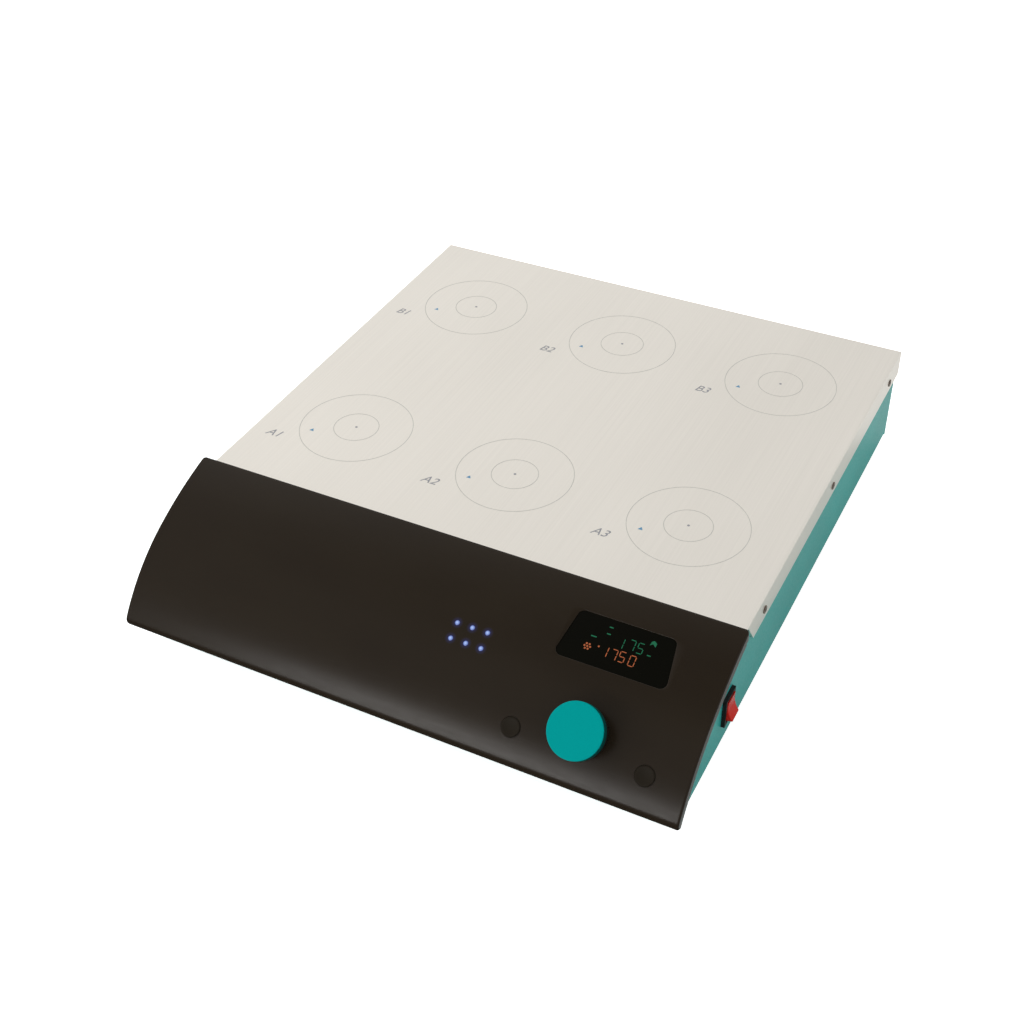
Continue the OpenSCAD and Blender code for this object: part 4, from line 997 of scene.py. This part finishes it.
def paperFloor(s):
    # White paper sweep: soft white that keeps the shadow, lifted for what the camera sees
    material = bpy.data.materials.new("matPaperSweep")
    material.use_nodes = True
    tree = material.node_tree
    tree.nodes.clear()
    diffuse = addNode(tree, "ShaderNodeBsdfDiffuse", {"Color": hexColor(s["floorColour"])})
    path = addNode(tree, "ShaderNodeLightPath")
    lift = addNode(tree, "ShaderNodeMapRange", {"To Max": s["floorLift"]},
                   {"Value": path.outputs["Is Camera Ray"]})
    glow = addNode(tree, "ShaderNodeEmission", None, {"Strength": lift.outputs[0]})
    both = addNode(tree, "ShaderNodeAddShader", None, {0: diffuse.outputs[0], 1: glow.outputs[0]})
    addNode(tree, "ShaderNodeOutputMaterial", None, {"Surface": both.outputs[0]})
    return material


def addFloor(s):
    h = s["floorHalf"]
    mesh = bpy.data.meshes.new("floor")
    mesh.from_pydata([(-h, -h, 0), (h, -h, 0), (h, h, 0), (-h, h, 0)], [], [(0, 1, 2, 3)])
    mesh.materials.append(paperFloor(s))
    floor = bpy.data.objects.new("floor", mesh)
    bpy.context.scene.collection.objects.link(floor)


def addFlag(s):
    # Grey flag on the floor before the toe: only the gloss sees it, a painted reflection of shade that
    # shows as a dark line along the toe
    (xLow, yLow), (xHigh, yHigh) = s["flag"]
    up = s["flagUp"]
    mesh = bpy.data.meshes.new("flag")
    mesh.from_pydata([(xLow, yLow, up), (xHigh, yLow, up), (xHigh, yHigh, up), (xLow, yHigh, up)],
                     [], [(0, 1, 2, 3)])
    material = bpy.data.materials.new("glossOnlyShadeCard")
    material.use_nodes = True
    tree = material.node_tree
    tree.nodes.clear()
    shadeCard = addNode(tree, "ShaderNodeBsdfDiffuse", {"Color": hexColor(s["flagColour"])})
    addNode(tree, "ShaderNodeOutputMaterial", None, {"Surface": shadeCard.outputs[0]})
    mesh.materials.append(material)
    flag = bpy.data.objects.new("flag", mesh)
    bpy.context.scene.collection.objects.link(flag)
    flag.visible_camera = flag.visible_diffuse = flag.visible_shadow = flag.visible_transmission = False


def addLamp(name, place, aim, size, power):
    # A white rectangular lamp at place that looks at aim and isn't seen itself
    data = bpy.data.lights.new(name, "AREA")
    data.shape = "RECTANGLE"
    data.size, data.size_y = size
    data.energy = power
    lamp = bpy.data.objects.new(name, data)
    lamp.matrix_world = aimedMatrix(Vector(place), (Vector(place) - Vector(aim)).normalized())
    lamp.visible_camera = False
    bpy.context.scene.collection.objects.link(lamp)
    return lamp


def addWorld(s):
    # White to the camera; in reflections it fades to the right, in front and overhead; softer as light
    world = bpy.data.worlds.new("studio")
    world.use_nodes = True
    bpy.context.scene.world = world
    tree = world.node_tree
    tree.nodes.clear()
    direction = addNode(tree, "ShaderNodeTexCoord").outputs["Generated"]
    split = addNode(tree, "ShaderNodeSeparateXYZ", None, {0: direction})
    fade = addNode(tree, "ShaderNodeValue").outputs[0]
    fade.default_value = 1.0
    for axis, ((start, end), (first, last)) in s["sky"].items():
        settings = {"From Min": start, "From Max": end, "To Min": first, "To Max": last}
        part = addNode(tree, "ShaderNodeMapRange", settings, {"Value": split.outputs[axis]}).outputs[0]
        fade = addNode(tree, "ShaderNodeMath", {"operation": "MULTIPLY"}, {0: fade, 1: part}).outputs[0]
    path = addNode(tree, "ShaderNodeLightPath")
    lit = addNode(tree, "ShaderNodeMix", {"data_type": "FLOAT", 2: s["skyDiffuse"]},
                  {0: path.outputs["Is Glossy Ray"], 3: fade})
    seen = addNode(tree, "ShaderNodeMath", {"operation": "MAXIMUM"},
                   {0: path.outputs["Is Camera Ray"], 1: path.outputs["Is Transmission Ray"]})
    strength = addNode(tree, "ShaderNodeMix", {"data_type": "FLOAT", 3: 1.0},
                       {0: seen.outputs[0], 2: lit.outputs[0]})
    background = addNode(tree, "ShaderNodeBackground", {"Color": (1, 1, 1, 1)},
                         {"Strength": strength.outputs[0]})
    addNode(tree, "ShaderNodeOutputWorld", None, {"Surface": background.outputs[0]})


addFloor(stageSet)
# Painted reflection: a dark line of shade along the toe, seen in the gloss alone
addFlag(stageSet)
toe = panelOrigin(0, slopeToe)
lamps = {}
for word, aim in (("strip", toe), ("fill", toe), ("key", (0, 0, plateTop))):
    place, size, power = (stageSet[word + part] for part in ("Place", "Size", "Power"))
    lamps[word] = addLamp(word + "Lamp", place, aim, size, power)
lamps["strip"].visible_diffuse = False
# The fill and the key are large and soft, and only light the object: the gloss doesn't show them
lamps["fill"].visible_glossy = lamps["key"].visible_glossy = False
addWorld(stageSet)
print("stage made")
